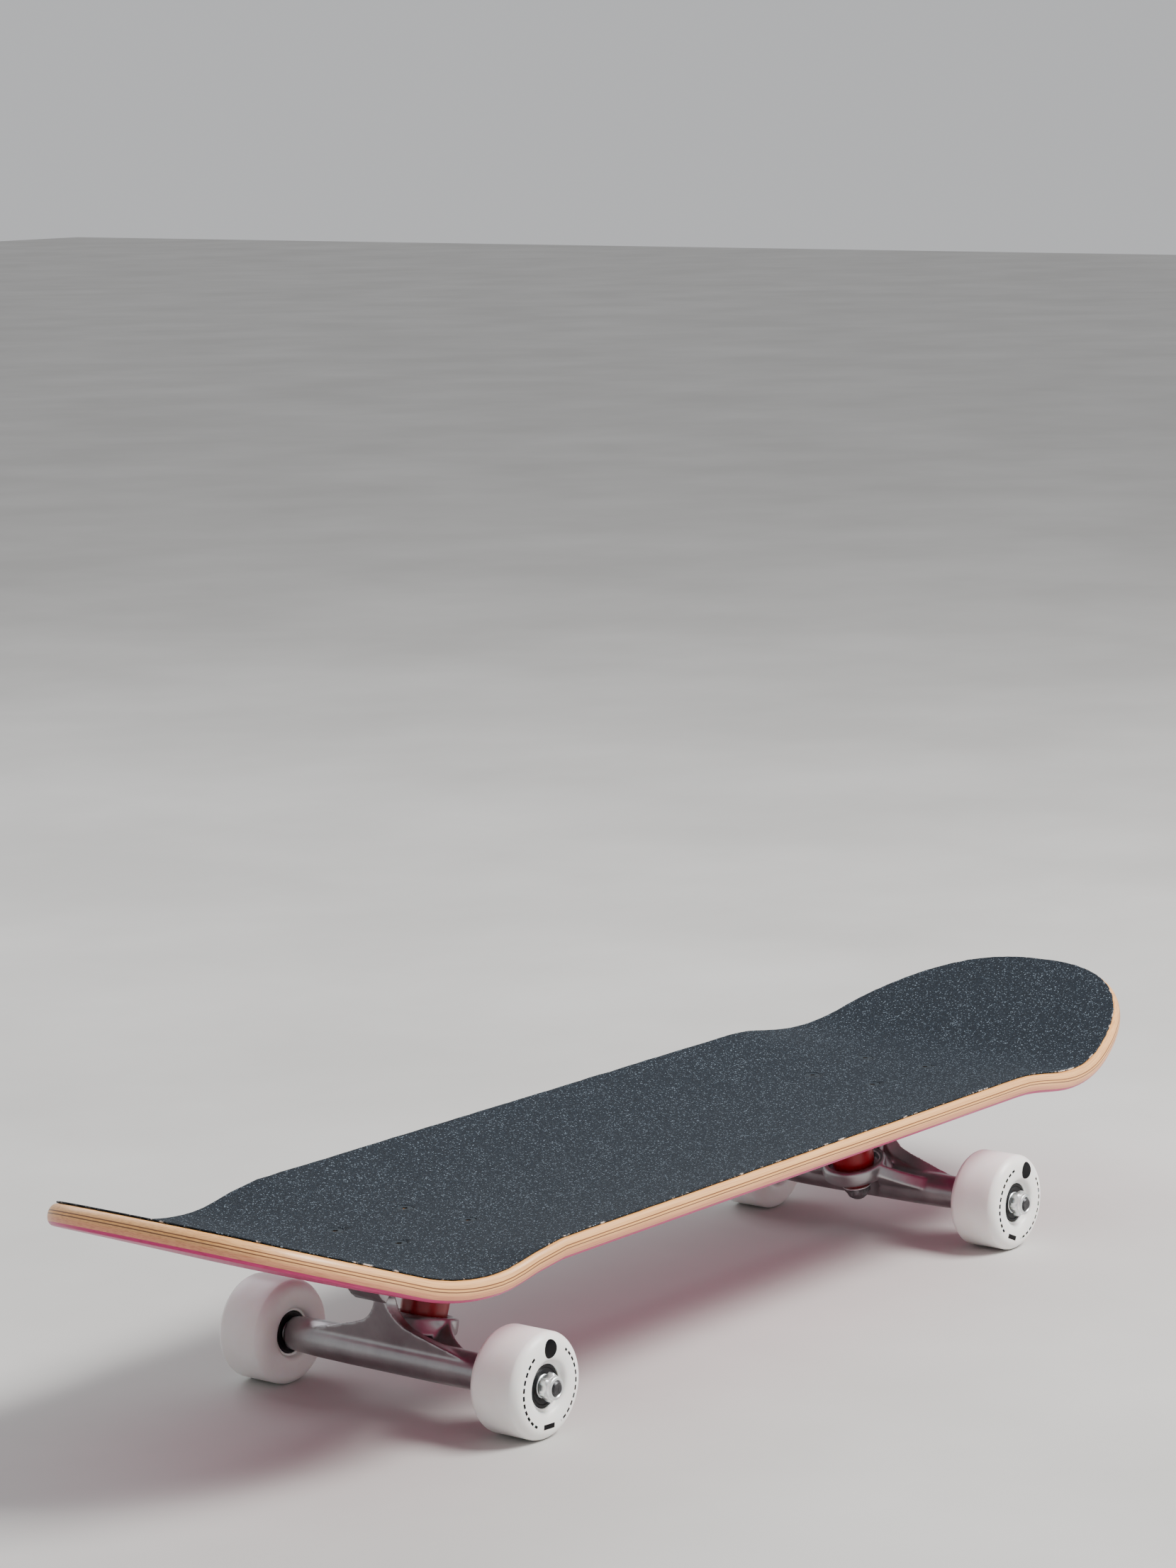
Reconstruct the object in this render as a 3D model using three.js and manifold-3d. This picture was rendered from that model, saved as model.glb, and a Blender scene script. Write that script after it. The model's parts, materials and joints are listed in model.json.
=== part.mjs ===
// A street skateboard: a seven-ply deck with grip tape, two cast trucks and four urethane wheels.
// Frame: +X towards the nose, +Y to the rider's left, +Z up. The floor under the wheels is z = 0
// and the origin is the middle of the board's bounding box. Millimetres.
import * as THREE from 'three';
import { mergeVertices } from 'three/addons/utils/BufferGeometryUtils.js';
import Module from 'manifold-3d';

const wasm = await Module();
wasm.setup();

// ---- driving dimensions -------------------------------------------------------------------
const TOUCH = 0.3; // gap left between pieces that touch

const DECK_WIDTH = 203.2;
const DECK_TOP = 92.2; // height of the grip tape's face at the middle of the board
const PLY_THICKNESS = 10.8;
const GRIP_THICKNESS = 0.8;
const GRIP_INSET = 2.6; // strip of bare wood left round the grip tape
const EDGE_ROUND = 3.0; // how far the rounded edge reaches in from the outline
const FLAT_STRIP = 12.0; // half-width of the truly flat strip along the middle
const CONCAVE_RISE = 8.7; // how far the rails rise above that strip
const CONCAVE_POWER = 1.9;

const WHEELBASE = 363.4; // between the inner bolts of the two trucks
const BOLT_LENGTH = 53.975; // truck bolt pattern along the board
const BOLT_WIDTH = 41.275; // truck bolt pattern across the board
const TRUCK_X = (WHEELBASE + BOLT_LENGTH) / 2;
const TAIL = {
  side: -1,
  length: 404.4, // tip of the wood from the middle of the wheelbase
  taper: 199.3, // length of the rounded end
  fullness: 3.25, // superellipse power of the rounded end
  kickStart: 17.7, // flat wood left past the outer bolts
  kickRadius: 148,
  kickAngle: THREE.MathUtils.degToRad(21.3),
  concaveEnd: [205, 255],
};
const NOSE = {
  side: 1,
  length: 401.6,
  taper: 172.8,
  fullness: 2.42,
  kickStart: 41.7,
  kickRadius: 112,
  kickAngle: THREE.MathUtils.degToRad(17.8),
  concaveEnd: [212, 275],
};
const CENTRE_X = 1.7; // middle of the wheelbase from the middle of the board's bounding box

const BOLT = { shaft: 2.4, head: 4.9, rim: 0.5, cone: 3.0, length: 25.4 };
const LOCK_NUT = { flats: 9.5, height: 6.0 };

// Truck pieces are placed from the middle of the truck's bolt pattern, +X towards the deck's end.
const PLATE = { length: 84, width: 57, thickness: 5.5, corner: 9 };
const PLATE_TOP = DECK_TOP - GRIP_THICKNESS - TOUCH - PLY_THICKNESS - TOUCH;
const PLATE_BOTTOM = PLATE_TOP - PLATE.thickness;
const RING = { x: -14.8, z: 38.5, radius: 18.4, half: 4.7, recess: 14.6 };
const KINGPIN_LEAN = THREE.MathUtils.degToRad(14.3); // the lower end leans towards the deck's end
const PIVOT_RISE = THREE.MathUtils.degToRad(38.8); // slope of the steering axis
const KINGPIN = { radius: 4.76, headRadius: 7.6, headHeight: 6, top: 40.1, bottom: -18.8 };
const KINGPIN_NUT = { flats: 12.7, top: -11.4, bottom: -17.6 };
const UPPER_SEAT = 0.5; // floors of the two bushing recesses, along the kingpin
const LOWER_SEAT = -3.5;
const NUT_RELIEF = 12.0; // room cut in the hanger for the kingpin's nut and washer when it steers
const BOSS_FACE = 25.3; // where the baseplate's kingpin boss ends
const BOSS_RADIUS = 13.0;
const UPPER_BUSHING = { radius: 12.4, bottom: UPPER_SEAT + TOUCH, top: 23.5 };
const LOWER_BUSHING = { radius: 9.6, bottom: -9.8, top: LOWER_SEAT - TOUCH };
const UPPER_WASHER = { radius: 12.2, bottom: 23.8, top: 25.0 };
const LOWER_WASHER = { radius: 8.6, bottom: -11.1, top: -10.1 };
const PIVOT = { mouth: 43.5, tip: 52.0, nose: 5.7, cup: 7.5, cupBore: 6.3, cupEnd: 54.0 };
const HOUSING_HALF = 10;

const AXLE = { x: 6.3, radius: 4.0, half: 102.6 };
const HANGER_HALF = 68.2;
const WHEEL = { radius: 27, half: 15.75, centre: 82 };
const BEARING = { radius: 11, bore: 4.05, width: 7, inner: 5.3 };
const AXLE_WASHER = { radius: 5.5, start: 94.5, end: 95.3 };
const AXLE_NUT = { flats: 12.7, start: 95.5, end: 102.0 };

const WHEEL_FACETS = 32;
const ROUND_FACETS = 20;
const RING_FACETS = 16; // bearings and washers
const SMALL_FACETS = 12;

// ---- materials ----------------------------------------------------------------------------
function finish(colour, roughness, metalness) {
  return new THREE.MeshStandardMaterial({ color: colour, roughness, metalness });
}
const MAPLE = finish(0xe3c9a6, 0.55, 0);
const GRIT = finish(0x33383f, 0.95, 0);
const BLACK_STEEL = finish(0x17181a, 0.4, 0.8);
const ZINC = finish(0xc9ccd0, 0.3, 1);
const CAST_ALUMINIUM = finish(0xb4b6b8, 0.42, 1);
const RED_URETHANE = finish(0x8a1420, 0.35, 0);
const WHITE_URETHANE = finish(0xf0eee8, 0.4, 0);
const BLACK_RUBBER = finish(0x1b1b1c, 0.6, 0);
const BEARING_STEEL = finish(0x2a2b2d, 0.35, 0.7);

// ---- solids -------------------------------------------------------------------------------
// Merges shared vertices, drops empty triangles and turns the faces outwards.
function closed(geometry) {
  const bare = geometry.clone();
  bare.deleteAttribute('normal');
  bare.deleteAttribute('uv');
  const welded = mergeVertices(bare, 1e-4);
  const index = Array.from(welded.index.array);
  const place = welded.attributes.position;
  const corners = [new THREE.Vector3(), new THREE.Vector3(), new THREE.Vector3()];
  const triangles = [];
  let volume = 0;
  for (let i = 0; i < index.length; i += 3) {
    const [a, b, c] = index.slice(i, i + 3);
    if (a === b || b === c || c === a) continue;
    corners.forEach((corner, k) => corner.fromBufferAttribute(place, index[i + k]));
    volume += corners[0].dot(corners[1].clone().cross(corners[2]));
    triangles.push([a, b, c]);
  }
  if (volume < 0) triangles.forEach((triangle) => triangle.reverse());
  welded.setIndex(triangles.flat());
  return welded;
}

function toSolid(geometry) {
  const body = closed(geometry);
  const vertProperties = Float32Array.from(body.attributes.position.array);
  const triVerts = Uint32Array.from(body.index.array);
  return new wasm.Manifold(new wasm.Mesh({ numProp: 3, vertProperties, triVerts }));
}

function fromSolid(solid) {
  const mesh = solid.getMesh();
  const geometry = new THREE.BufferGeometry();
  geometry.setAttribute('position', new THREE.BufferAttribute(mesh.vertProperties, 3));
  geometry.setIndex(Array.from(mesh.triVerts));
  geometry.computeVertexNormals();
  return geometry;
}

function join(...geometries) {
  return fromSolid(geometries.map(toSolid).reduce((whole, piece) => whole.add(piece)));
}

function cut(geometry, ...tools) {
  return fromSolid(tools.map(toSolid).reduce((whole, tool) => whole.subtract(tool), toSolid(geometry)));
}

// A turned piece about the Y axis. The profile is a list of [radius, y] that starts and ends on the
// axis, or is closed on itself here. A flat facet faces straight down.
function turnedAlongY(profile, facets) {
  const points = profile.map(([radius, y]) => new THREE.Vector2(radius, y));
  const onAxis = profile[0][0] === 0;
  if (!onAxis) points.push(points[0].clone());
  return closed(new THREE.LatheGeometry(points, facets, Math.PI / facets));
}

function turned(profile, facets) {
  return turnedAlongY(profile, facets).rotateX(Math.PI / 2);
}

function rod(radius, bottom, top, facets) {
  return turned([[0, bottom], [radius, bottom], [radius, top], [0, top]], facets);
}

function sleeve(bore, radius, bottom, top, facets) {
  return turned([[bore, bottom], [radius, bottom], [radius, top], [bore, top]], facets);
}

function hexNut(flats, bore, bottom, top) {
  const corner = flats / Math.sqrt(3);
  return cut(rod(corner, bottom, top, 6), rod(bore, bottom - 1, top + 1, SMALL_FACETS));
}

// Moves a piece drawn along a tilted truck axis, with its zero at the ring's centre.
function alongKingpin(geometry) {
  return geometry.rotateY(-KINGPIN_LEAN).translate(RING.x, 0, RING.z);
}

function alongPivot(geometry) {
  return geometry.rotateY(Math.PI / 2 - PIVOT_RISE).translate(RING.x, 0, RING.z);
}

// ---- deck and grip tape -------------------------------------------------------------------
function smoothstep(low, high, value) {
  return THREE.MathUtils.smoothstep(value, low, high);
}

function endOf(x) {
  return x < 0 ? TAIL : NOSE;
}

// Height and slope of the board's middle line at distance x from the middle of the wheelbase.
function kick(x) {
  const end = endOf(x);
  const start = WHEELBASE / 2 + BOLT_LENGTH + end.kickStart;
  const run = Math.abs(x) - start;
  const arcRun = end.kickRadius * Math.sin(end.kickAngle);
  if (run <= 0) return { rise: 0, slope: 0 };
  if (run < arcRun) {
    const slope = Math.asin(run / end.kickRadius);
    return { rise: end.kickRadius * (1 - Math.cos(slope)), slope: slope * end.side };
  }
  const arcRise = end.kickRadius * (1 - Math.cos(end.kickAngle));
  const rise = arcRise + (run - arcRun) * Math.tan(end.kickAngle);
  return { rise, slope: end.kickAngle * end.side };
}

function concave(x, y) {
  const end = endOf(x);
  const across = Math.max(0, Math.abs(y) - FLAT_STRIP) / (DECK_WIDTH / 2 - GRIP_INSET - FLAT_STRIP);
  const [fadeFrom, fadeTo] = end.concaveEnd;
  const fade = 1 - 0.75 * smoothstep(fadeFrom, fadeTo, Math.abs(x));
  const tipFade = 1 - smoothstep(fadeTo, end.length, Math.abs(x));
  return CONCAVE_RISE * fade * tipFade * Math.pow(across, CONCAVE_POWER);
}

// A point of the board at plan position (x, y), sunk by depth below the grip tape's face.
function boardPoint(x, y, depth) {
  const { rise, slope } = kick(x);
  const z = DECK_TOP + rise + concave(x, y) - depth * Math.cos(slope);
  return new THREE.Vector3(CENTRE_X + x + depth * Math.sin(slope), y, z);
}

// The board's outline in plan, once round, drawn in from its edge by inset.
function outline(inset) {
  const quarter = 10;
  const railSteps = 5;
  const half = DECK_WIDTH / 2;
  const side = [];
  for (let i = 0; i <= quarter; i += 1) {
    side.push(endPoint(NOSE, (i / quarter) * (Math.PI / 2), half));
  }
  const railStart = NOSE.length - NOSE.taper;
  const railEnd = -(TAIL.length - TAIL.taper);
  for (let i = 1; i < railSteps; i += 1) {
    side.push(new THREE.Vector2(THREE.MathUtils.lerp(railStart, railEnd, i / railSteps), half));
  }
  for (let i = quarter; i >= 0; i -= 1) {
    side.push(endPoint(TAIL, (i / quarter) * (Math.PI / 2), half));
  }
  const mirrored = side.slice(1, -1).reverse().map((point) => new THREE.Vector2(point.x, -point.y));
  const loop = side.concat(mirrored);
  return loop.map((point, i) => {
    const before = loop.at(i - 1);
    const after = loop[(i + 1) % loop.length];
    const along = after.clone().sub(before).normalize();
    return new THREE.Vector2(point.x - along.y * inset, point.y + along.x * inset);
  });
}

function endPoint(end, angle, half) {
  const power = 2 / end.fullness;
  const x = end.length - end.taper + end.taper * Math.pow(Math.cos(angle), power);
  return new THREE.Vector2(end.side * x, half * Math.pow(Math.sin(angle), power));
}

// A sheet of the board between two depths. rows are the inner rows of points, from the spine
// outwards as shares of the way to the rim, and rim lists [inset, depth] round the edge.
function boardSheet(top, bottom, rim) {
  const spine = 0.93; // where a row starts on the middle line, as a share of its end's x
  const rows = [0, 0.12, 0.5, 0.78];
  const loops = [];
  const addRow = (share, depth) => {
    loops.push(outline(EDGE_ROUND).map(({ x, y }) => (
      boardPoint(THREE.MathUtils.lerp(x * spine, x, share), y * share, depth))));
  };
  rows.forEach((share) => addRow(share, top));
  rim.forEach(([rimInset, depth]) => {
    loops.push(outline(rimInset).map(({ x, y }) => boardPoint(x, y, depth)));
  });
  rows.toReversed().forEach((share) => addRow(share, bottom));
  return skin(loops);
}

// Joins loops of points, all of one length, into a closed skin. The second half of the loops runs
// back inwards, and its quads split the other way, so that two sheets split alike where they face.
function skin(loops) {
  const count = loops[0].length;
  const positions = loops.flat().flatMap((point) => point.toArray());
  const index = [];
  for (let row = 0; row + 1 < loops.length; row += 1) {
    for (let i = 0; i < count; i += 1) {
      const a = row * count + i;
      const b = row * count + ((i + 1) % count);
      const inwards = row >= loops.length / 2;
      if (inwards) index.push(a, b, a + count, b, b + count, a + count);
      else index.push(a, b, b + count, a, b + count, a + count);
    }
  }
  const geometry = new THREE.BufferGeometry();
  geometry.setAttribute('position', new THREE.Float32BufferAttribute(positions, 3));
  geometry.setIndex(index);
  return closed(geometry);
}

function boltProfile(clearance) {
  const top = clearance > 0 ? 2 : 0;
  return [
    [0, top],
    [BOLT.head + clearance, top],
    [BOLT.head + clearance, -BOLT.rim],
    [BOLT.shaft + clearance, -BOLT.rim - BOLT.cone],
    [BOLT.shaft + clearance, -BOLT.length],
    [0, -BOLT.length],
  ];
}

function boltPlaces() {
  const places = [];
  for (const end of [TAIL, NOSE]) {
    for (const [row, along] of [['inner', -1], ['outer', 1]]) {
      for (const [hand, across] of [['left', 1], ['right', -1]]) {
        const x = CENTRE_X + end.side * (TRUCK_X + (along * BOLT_LENGTH) / 2);
        places.push({ name: `${endName(end)}_${row}_${hand}`, x, y: (across * BOLT_WIDTH) / 2 });
      }
    }
  }
  return places;
}

function endName(end) {
  return end === TAIL ? 'tail' : 'nose';
}

function boltHoles(clearance) {
  return boltPlaces().map(({ x, y }) => (
    turned(boltProfile(clearance), SMALL_FACETS).translate(x, y, boltHeight())));
}

function boltHeight() {
  return DECK_TOP + concave(TRUCK_X, BOLT_WIDTH / 2);
}

function deck() {
  const top = GRIP_THICKNESS + TOUCH;
  const half = PLY_THICKNESS / 2;
  const rim = [];
  for (let step = 0; step <= 4; step += 1) {
    const turn = (step / 4) * Math.PI;
    rim.push([EDGE_ROUND * (1 - Math.sin(turn)), top + half * (1 - Math.cos(turn))]);
  }
  return cut(boardSheet(top, top + PLY_THICKNESS, rim), ...boltHoles(0.4));
}

function gripTape() {
  const rim = [
    [EDGE_ROUND, 0], [GRIP_INSET, 0], [GRIP_INSET, GRIP_THICKNESS], [EDGE_ROUND, GRIP_THICKNESS],
  ];
  return cut(boardSheet(0, GRIP_THICKNESS, rim), ...boltHoles(0.4));
}

// ---- baseplate ----------------------------------------------------------------------------
function roundedPlate({ length, width, thickness, corner }) {
  const x = length / 2 - corner;
  const y = width / 2 - corner;
  const shape = new THREE.Shape();
  shape.absarc(x, y, corner, 0, Math.PI / 2);
  shape.absarc(-x, y, corner, Math.PI / 2, Math.PI);
  shape.absarc(-x, -y, corner, Math.PI, Math.PI * 1.5);
  shape.absarc(x, -y, corner, Math.PI * 1.5, Math.PI * 2);
  const options = { depth: thickness, bevelEnabled: false, curveSegments: 5 };
  return new THREE.ExtrudeGeometry(shape, options);
}

// The pivot housing's side view, extruded across the truck.
function pivotHousing() {
  const overlap = 1;
  const shape = new THREE.Shape([
    new THREE.Vector2(10.5, PLATE_BOTTOM + overlap),
    new THREE.Vector2(12.5, 73.5),
    new THREE.Vector2(24.7, 58.9),
    new THREE.Vector2(28.5, 61.9),
    new THREE.Vector2(39.1, PLATE_BOTTOM + overlap),
  ]);
  const depth = HOUSING_HALF * 2;
  const block = new THREE.ExtrudeGeometry(shape, { depth, bevelEnabled: false });
  return block.rotateX(Math.PI / 2).translate(0, HOUSING_HALF, 0);
}

function baseplate() {
  const plate = roundedPlate(PLATE).translate(0, 0, PLATE_BOTTOM);
  const boss = alongKingpin(rod(BOSS_RADIUS, BOSS_FACE, KINGPIN.top - 1, ROUND_FACETS));
  const shaftHole = alongKingpin(rod(KINGPIN.radius + TOUCH, 0, 60, SMALL_FACETS));
  const headRadius = KINGPIN.headRadius + TOUCH;
  const headBottom = KINGPIN.top - KINGPIN.headHeight - TOUCH;
  const headPocket = alongKingpin(rod(headRadius, headBottom, 60, SMALL_FACETS));
  const cupPocket = alongPivot(rod(PIVOT.cup + TOUCH, 20, PIVOT.cupEnd + TOUCH, SMALL_FACETS));
  const holes = [];
  for (const x of [-BOLT_LENGTH / 2, BOLT_LENGTH / 2]) {
    for (const y of [-BOLT_WIDTH / 2, BOLT_WIDTH / 2]) {
      const hole = rod(BOLT.shaft + TOUCH, PLATE_BOTTOM - 5, PLATE_TOP + 5, SMALL_FACETS);
      holes.push(hole.translate(x, y, 0));
    }
  }
  return cut(join(plate, boss, pivotHousing()), shaftHole, headPocket, cupPocket, ...holes);
}

// ---- kingpin stack ------------------------------------------------------------------------
function kingpin() {
  const { radius, headRadius, headHeight, top, bottom } = KINGPIN;
  return alongKingpin(turned([
    [0, bottom],
    [radius - 0.8, bottom],
    [radius, bottom + 1.2],
    [radius, top - headHeight],
    [headRadius, top - headHeight],
    [headRadius, top],
    [0, top],
  ], SMALL_FACETS));
}

function kingpinNut() {
  const { flats, bottom, top } = KINGPIN_NUT;
  return alongKingpin(hexNut(flats, KINGPIN.radius + TOUCH, bottom, top));
}

function kingpinWasher({ radius, bottom, top }) {
  return alongKingpin(sleeve(KINGPIN.radius + TOUCH, radius, bottom, top, RING_FACETS));
}

function upperBushing() {
  const { radius, bottom, top } = UPPER_BUSHING;
  const bore = KINGPIN.radius + TOUCH;
  const waist = radius - 0.8;
  return alongKingpin(turned([
    [bore, bottom], [waist, bottom], [radius, bottom + 5], [radius, top - 5], [waist, top], [bore, top],
  ], ROUND_FACETS));
}

function lowerBushing() {
  const { radius, bottom, top } = LOWER_BUSHING;
  const bore = KINGPIN.radius + TOUCH;
  return alongKingpin(turned([
    [bore, bottom], [radius - 1.2, bottom], [radius, top], [bore, top],
  ], ROUND_FACETS));
}

function pivotCup() {
  const { mouth, cup, cupBore, cupEnd } = PIVOT;
  return alongPivot(turned([
    [0, cupEnd], [cup, cupEnd], [cup, mouth + 1],
    [cupBore, mouth + 1], [cupBore, cupEnd - 1.6], [0, cupEnd - 1.6],
  ], SMALL_FACETS));
}

// ---- hanger -------------------------------------------------------------------------------
function axleTube() {
  const half = HANGER_HALF;
  const side = [[8.4, half], [9.0, half - 4], [9.6, half - 23]];
  const lower = side.map(([radius, y]) => [radius, -y]);
  const profile = [[0, -half], ...lower, ...side.toReversed(), [0, half]];
  return turnedAlongY(profile, ROUND_FACETS).translate(AXLE.x, 0, WHEEL.radius);
}

// The outer face: a bell-shaped web that leans out from the axle tube up to the pivot nose. It is
// drawn as half-widths at heights up the face, and narrows towards its inner side.
function outerWeb() {
  const foot = { x: 13.4, z: 33.4 };
  const lean = THREE.MathUtils.degToRad(13.2);
  const depth = 9;
  const outer = [
    [53, -3], [53, 0], [40, 3.4], [28, 7], [20, 9.8], [13.3, 13], [9.3, 17], [5, 22], [3.4, 25.5],
  ];
  const inner = [
    [45, -6], [45, -1], [32, 1.4], [21.5, 4], [13.7, 6.8], [7.6, 11.2], [4.4, 17], [3, 21.6], [2.5, 25.4],
  ];
  const loop = (half, x) => [...half, ...half.toReversed().map(([y, z]) => [-y, z])]
    .map(([y, z]) => new THREE.Vector3(x, y, z));
  const front = loop(outer, 0);
  const back = loop(inner, -depth);
  const middle = (x) => outer.flatMap(() => [new THREE.Vector3(x, 0, 4), new THREE.Vector3(x, 0, 4)]);
  const web = skin([middle(0), front, back, middle(-depth)]);
  return web.rotateY(lean).translate(foot.x, 0, foot.z);
}

// The neck that carries the pivot nose back to the bushing ring.
function neck() {
  const half = 5;
  const shape = new THREE.Shape([
    new THREE.Vector2(-2, 35),
    new THREE.Vector2(6, 33),
    new THREE.Vector2(14, 44),
    new THREE.Vector2(17.5, 57.5),
    new THREE.Vector2(12.5, 61),
    new THREE.Vector2(6, 54),
    new THREE.Vector2(2, 45),
  ]);
  const block = new THREE.ExtrudeGeometry(shape, { depth: half * 2, bevelEnabled: false });
  return block.rotateX(Math.PI / 2).translate(0, half, 0);
}

// The inner face: a flatter web from the bushing ring out to both ends of the axle tube.
function innerWings() {
  const thickness = 8;
  const rise = Math.atan2(RING.z - WHEEL.radius, AXLE.x - RING.x);
  const shape = new THREE.Shape();
  shape.moveTo(-60, -3);
  shape.lineTo(60, -3);
  shape.lineTo(60, 5);
  shape.quadraticCurveTo(30, 8, 17.5, 27);
  shape.lineTo(-17.5, 27);
  shape.quadraticCurveTo(-30, 8, -60, 5);
  const options = { depth: thickness, bevelEnabled: false, curveSegments: 6 };
  const wings = new THREE.ExtrudeGeometry(shape, options);
  wings.translate(0, 0, -thickness / 2).rotateZ(Math.PI / 2);
  return wings.rotateY(rise).translate(AXLE.x, 0, WHEEL.radius);
}

function pivotNose() {
  const { mouth, nose, tip } = PIVOT;
  return alongPivot(turned([
    [0, 26], [6, 26], [6, mouth - 2], [nose, mouth], [nose, tip - 2.5], [nose - 2, tip], [0, tip],
  ], ROUND_FACETS));
}

function hanger() {
  const { radius, half } = RING;
  const ring = alongKingpin(rod(radius, -half, half, ROUND_FACETS));
  const bore = alongKingpin(rod(7.0, -40, 40, SMALL_FACETS));
  const upperRecess = alongKingpin(rod(RING.recess, UPPER_SEAT, 40, ROUND_FACETS));
  const lowerRecess = alongKingpin(rod(10.4, -half - 1, LOWER_SEAT, ROUND_FACETS));
  const nutRelief = alongKingpin(rod(NUT_RELIEF, -40, -half, ROUND_FACETS));
  const bored = AXLE.radius + TOUCH;
  const axleBore = turnedAlongY([[0, -80], [bored, -80], [bored, 80], [0, 80]], ROUND_FACETS);
  axleBore.translate(AXLE.x, 0, WHEEL.radius);
  const casting = join(ring, axleTube(), outerWeb(), innerWings(), neck(), pivotNose());
  return cut(casting, bore, upperRecess, lowerRecess, nutRelief, axleBore);
}

function axle() {
  const { radius, half } = AXLE;
  const chamfer = 0.8;
  return turnedAlongY([
    [0, -half], [radius - chamfer, -half], [radius, -half + chamfer],
    [radius, half - chamfer], [radius - chamfer, half], [0, half],
  ], ROUND_FACETS);
}

// ---- wheels -------------------------------------------------------------------------------
function wheel() {
  const { radius, half } = WHEEL;
  const seat = BEARING.radius + TOUCH;
  const shoulder = BEARING.inner - TOUCH;
  const outside = [[radius, 10.5], [radius - 3, 14.2], [19.5, half], [12.6, 13.7]];
  const inside = [[seat, 12.6], [seat, shoulder], [9.4, shoulder]];
  const face = [...outside, ...inside];
  const scale = 1 / Math.cos(Math.PI / WHEEL_FACETS); // the facets' flats touch the true circle
  const profile = [...face, ...face.toReversed().map(([r, y]) => [r, -y])];
  return turnedAlongY(profile.map(([r, y]) => [r * scale, y]), WHEEL_FACETS);
}

function bearing() {
  const { radius, bore, width } = BEARING;
  const wide = bore / Math.cos(Math.PI / RING_FACETS); // the bore's flats clear the axle
  const half = width / 2;
  return turnedAlongY([[wide, -half], [radius, -half], [radius, half], [wide, half]], RING_FACETS);
}

function axleWasher() {
  const { radius, start, end } = AXLE_WASHER;
  const bore = AXLE.radius + TOUCH;
  return turnedAlongY([[bore, start], [radius, start], [radius, end], [bore, end]], RING_FACETS);
}

function axleNut() {
  const { flats, start, end } = AXLE_NUT;
  return hexNut(flats, AXLE.radius + TOUCH, start, end).rotateX(-Math.PI / 2);
}

// ---- assembly -----------------------------------------------------------------------------
function piece(name, geometry, material) {
  const mesh = new THREE.Mesh(geometry, material);
  mesh.name = name;
  return mesh;
}

function boltsAndNuts() {
  const group = new THREE.Group();
  for (const { name, x, y } of boltPlaces()) {
    const bolt = piece(`${name}_bolt`, turned(boltProfile(0), SMALL_FACETS), BLACK_STEEL);
    bolt.position.set(x, y, boltHeight());
    const top = PLATE_BOTTOM - TOUCH;
    const nut = hexNut(LOCK_NUT.flats, BOLT.shaft + TOUCH, top - LOCK_NUT.height, top);
    const nutMesh = piece(`${name}_nut`, nut, BLACK_STEEL);
    nutMesh.position.set(x, y, 0);
    group.add(bolt, nutMesh);
  }
  return group;
}

// One wheel with its two bearings, washer and nut, on the side of the truck given by side.
function wheelSet(name, side) {
  const group = new THREE.Group();
  group.position.set(AXLE.x, 0, WHEEL.radius);
  const tyre = piece(`${name}_wheel`, wheel(), WHITE_URETHANE);
  tyre.position.y = side * WHEEL.centre;
  const middle = BEARING.inner + BEARING.width / 2;
  for (const [place, offset] of [['inner', -middle], ['outer', middle]]) {
    const race = piece(`${name}_${place}_bearing`, bearing(), BEARING_STEEL);
    race.position.y = side * (WHEEL.centre + offset);
    group.add(race);
  }
  const washer = piece(`${name}_axle_washer`, axleWasher(), ZINC);
  const nut = piece(`${name}_axle_nut`, axleNut(), ZINC);
  if (side < 0) {
    washer.rotation.z = Math.PI;
    nut.rotation.z = Math.PI;
  }
  group.add(tyre, washer, nut);
  return group;
}

function truck(end) {
  const name = endName(end);
  const group = new THREE.Group();
  group.position.x = CENTRE_X + end.side * TRUCK_X;
  group.rotation.z = end.side < 0 ? Math.PI : 0;
  const rod = piece(`${name}_axle`, axle(), BLACK_STEEL);
  rod.position.set(AXLE.x, 0, WHEEL.radius);
  group.add(
    piece(`${name}_baseplate`, baseplate(), CAST_ALUMINIUM),
    piece(`${name}_pivot_cup`, pivotCup(), BLACK_RUBBER),
    piece(`${name}_kingpin`, kingpin(), BLACK_STEEL),
    piece(`${name}_kingpin_nut`, kingpinNut(), BLACK_STEEL),
    piece(`${name}_upper_washer`, kingpinWasher(UPPER_WASHER), ZINC),
    piece(`${name}_upper_bushing`, upperBushing(), RED_URETHANE),
    piece(`${name}_lower_bushing`, lowerBushing(), RED_URETHANE),
    piece(`${name}_lower_washer`, kingpinWasher(LOWER_WASHER), ZINC),
    piece(`${name}_hanger`, hanger(), CAST_ALUMINIUM),
    rod,
  );
  for (const [hand, side] of [['left', end.side], ['right', -end.side]]) {
    group.add(wheelSet(`${name}_${hand}`, side));
  }
  return group;
}

const skateboard = new THREE.Group();
skateboard.add(
  piece('deck', deck(), MAPLE),
  piece('grip_tape', gripTape(), GRIT),
  boltsAndNuts(),
  truck(TAIL),
  truck(NOSE),
);

export default skateboard;
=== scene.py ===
import json
import math

import bmesh
import bpy
from mathutils import Euler, Matrix, Vector, noise


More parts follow.
